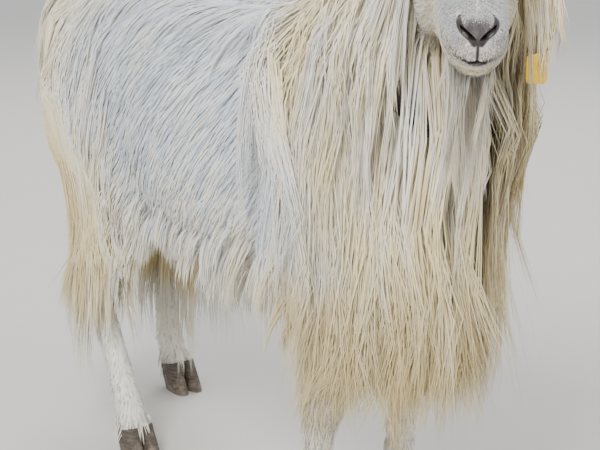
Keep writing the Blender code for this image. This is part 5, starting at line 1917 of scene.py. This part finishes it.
class GOAT_OT_collar(GoatPiece, bpy.types.Operator):
    """A loose worn strap with rounded edges, lowest in front"""

    bl_idname = "goat.collar"
    bl_label = "Collar"

    def make(self, sizes):
        slope = Matrix.Rotation(COLLAR_SLOPE, 3, "Y")
        bm = bmesh.new()
        rings, facts = [], []
        for k in range(COLLAR_STEPS):
            angle = 2 * math.pi * k / COLLAR_STEPS
            reach = Vector((math.cos(angle) * COLLAR_RADII[0], math.sin(angle) * COLLAR_RADII[1], 0))
            out = reach.normalized() * COLLAR_THICKNESS
            rise = UPWARD * COLLAR_WIDTH
            ring = []
            for a, b in COLLAR_CORNERS:
                ring.append(bm.verts.new(COLLAR_CENTRE + slope @ (reach + out * a + rise * b * 0.98)))
                facts.append((angle * COLLAR_REACH, b * COLLAR_WIDTH, 0))
            rings.append(ring)
        for first, second in zip(rings, rings[1:] + rings[:1]):
            for k in range(len(COLLAR_CORNERS)):
                following = (k + 1) % len(COLLAR_CORNERS)
                bm.faces.new((first[k], first[following], second[following], second[k]))
        bmesh.ops.recalc_face_normals(bm, faces=bm.faces)
        strap = from_bmesh("strap", bm)
        mark(strap.data, "weave", facts)
        finished(strap, "collar_strap", "strap", strap_looks(), ["collar"])


class GOAT_OT_tag(GoatPiece, bpy.types.Operator):
    """A bare plastic tag: a plate with rounded corners, a pin through the ear and a button behind it"""

    bl_idname = "goat.tag"
    bl_label = "Ear tag"

    def make(self, sizes):
        here, across, face, way, _, _ = ear_stations(LEFT, TAG_STATIONS)[TAG_STATION]
        bm = bmesh.new()
        wide, tall, thick = TAG_SIZE
        bmesh.ops.create_cube(bm, size=1, matrix=Matrix.Diagonal((*TAG_SIZE, 1)))
        corners = [e for e in bm.edges if abs(e.verts[0].co.z - e.verts[1].co.z) > thick / 2]
        bmesh.ops.bevel(bm, geom=corners, offset=TAG_CORNER, segments=6, affect="EDGES", profile=0.5)
        bmesh.ops.transform(bm, matrix=Matrix.Translation((0, -tall * 0.32, TAG_REACH)), verts=bm.verts)
        # The button behind the ear, the pin and the raised disc in front: radius, and its two ends
        for radius, low, high in (
            (wide * 0.32, -TAG_REACH - thick / 2, -TAG_REACH + thick / 2),
            (TAG_PIN, -TAG_REACH, TAG_REACH),
            (wide * 0.26, TAG_REACH + thick * 0.3, TAG_REACH + thick * 0.8),
        ):
            spot = Matrix.Translation((0, 0, (low + high) / 2))
            bmesh.ops.create_cone(
                bm, cap_ends=True, segments=32, radius1=radius, radius2=radius, depth=high - low, matrix=spot
            )
        tag = bevelled(from_bmesh("tag", bm), 0.0005, 2)
        tag.data.transform(Matrix.Translation(here) @ Matrix((-across, -way, face)).transposed().to_4x4())
        finished(tag, "tag_plate", "tag_plastic", tag_looks(), ["ear_tag"])


def aimed(name, data, place, target):
    """A lamp or camera at the place, turned to the target."""
    holder = bpy.data.objects.new(name, data)
    holder.location = place
    holder.rotation_euler = (Vector(target) - Vector(place)).to_track_quat("-Z", "Y").to_euler()
    bpy.context.scene.collection.objects.link(holder)
    return holder


class GOAT_OT_stage(GoatPiece, bpy.types.Operator):
    """Pale floor, soft studio light and the camera"""

    bl_idname = "goat.stage"
    bl_label = "Stage"

    def make(self, sizes):
        bm = bmesh.new()
        bmesh.ops.create_grid(bm, x_segments=1, y_segments=1, size=FLOOR_SIZE)
        floor = from_bmesh("studio_floor", bm)
        floor.data.materials.append(floor_looks())

        world = bpy.data.worlds.new("studio")
        world.use_nodes = True
        backdrop = world.node_tree.nodes["Background"]
        backdrop.inputs["Color"].default_value = SKY
        backdrop.inputs["Strength"].default_value = 1.0
        bpy.context.scene.world = world
        for name, place, size, power, tint in LAMPS:
            lamp = bpy.data.lights.new(name, "AREA")
            lamp.energy, lamp.size, lamp.color = power, size, tint
            aimed(name, lamp, place, LAMP_TARGET)

        lens = bpy.data.cameras.new("photo camera")
        lens.lens, lens.sensor_width = CAMERA_LENS, CAMERA_SENSOR
        shift = model_shift()
        camera = aimed("photo camera", lens, CAMERA_PLACE + shift, CAMERA_TARGET + shift)
        bpy.context.scene.camera = camera


OPERATORS = (
    GOAT_OT_stage, GOAT_OT_skin, GOAT_OT_collar, GOAT_OT_ears, GOAT_OT_tag, GOAT_OT_eyes, GOAT_OT_horns,
    GOAT_OT_claws, GOAT_OT_short_coat, GOAT_OT_long_coat,
)


class GOAT_PT_panel(bpy.types.Panel):
    """Lists the goat's pieces, in the order in which they are made"""

    bl_label = "Goat"
    bl_space_type = "VIEW_3D"
    bl_region_type = "UI"
    bl_category = "Goat"

    def draw(self, context):
        for group in (context.scene.goat_sizes, context.scene.goat_colours):
            for field in group.bl_rna.properties:
                if field.identifier not in ("rna_type", "name"):
                    self.layout.prop(group, field.identifier)
        for piece in OPERATORS:
            self.layout.operator(piece.bl_idname)


CLASSES = (GoatSizes, GoatColours, *OPERATORS, GOAT_PT_panel)


def register():
    for made in CLASSES:
        bpy.utils.register_class(made)
    bpy.types.Scene.goat_sizes = PointerProperty(type=GoatSizes)
    bpy.types.Scene.goat_colours = PointerProperty(type=GoatColours)


def unregister():
    del bpy.types.Scene.goat_colours
    del bpy.types.Scene.goat_sizes
    for made in reversed(CLASSES):
        bpy.utils.unregister_class(made)


def main():
    register()
    for piece in OPERATORS:
        group, name = piece.bl_idname.split(".")
        getattr(getattr(bpy.ops, group), name)()


if __name__ == "__main__":
    main()
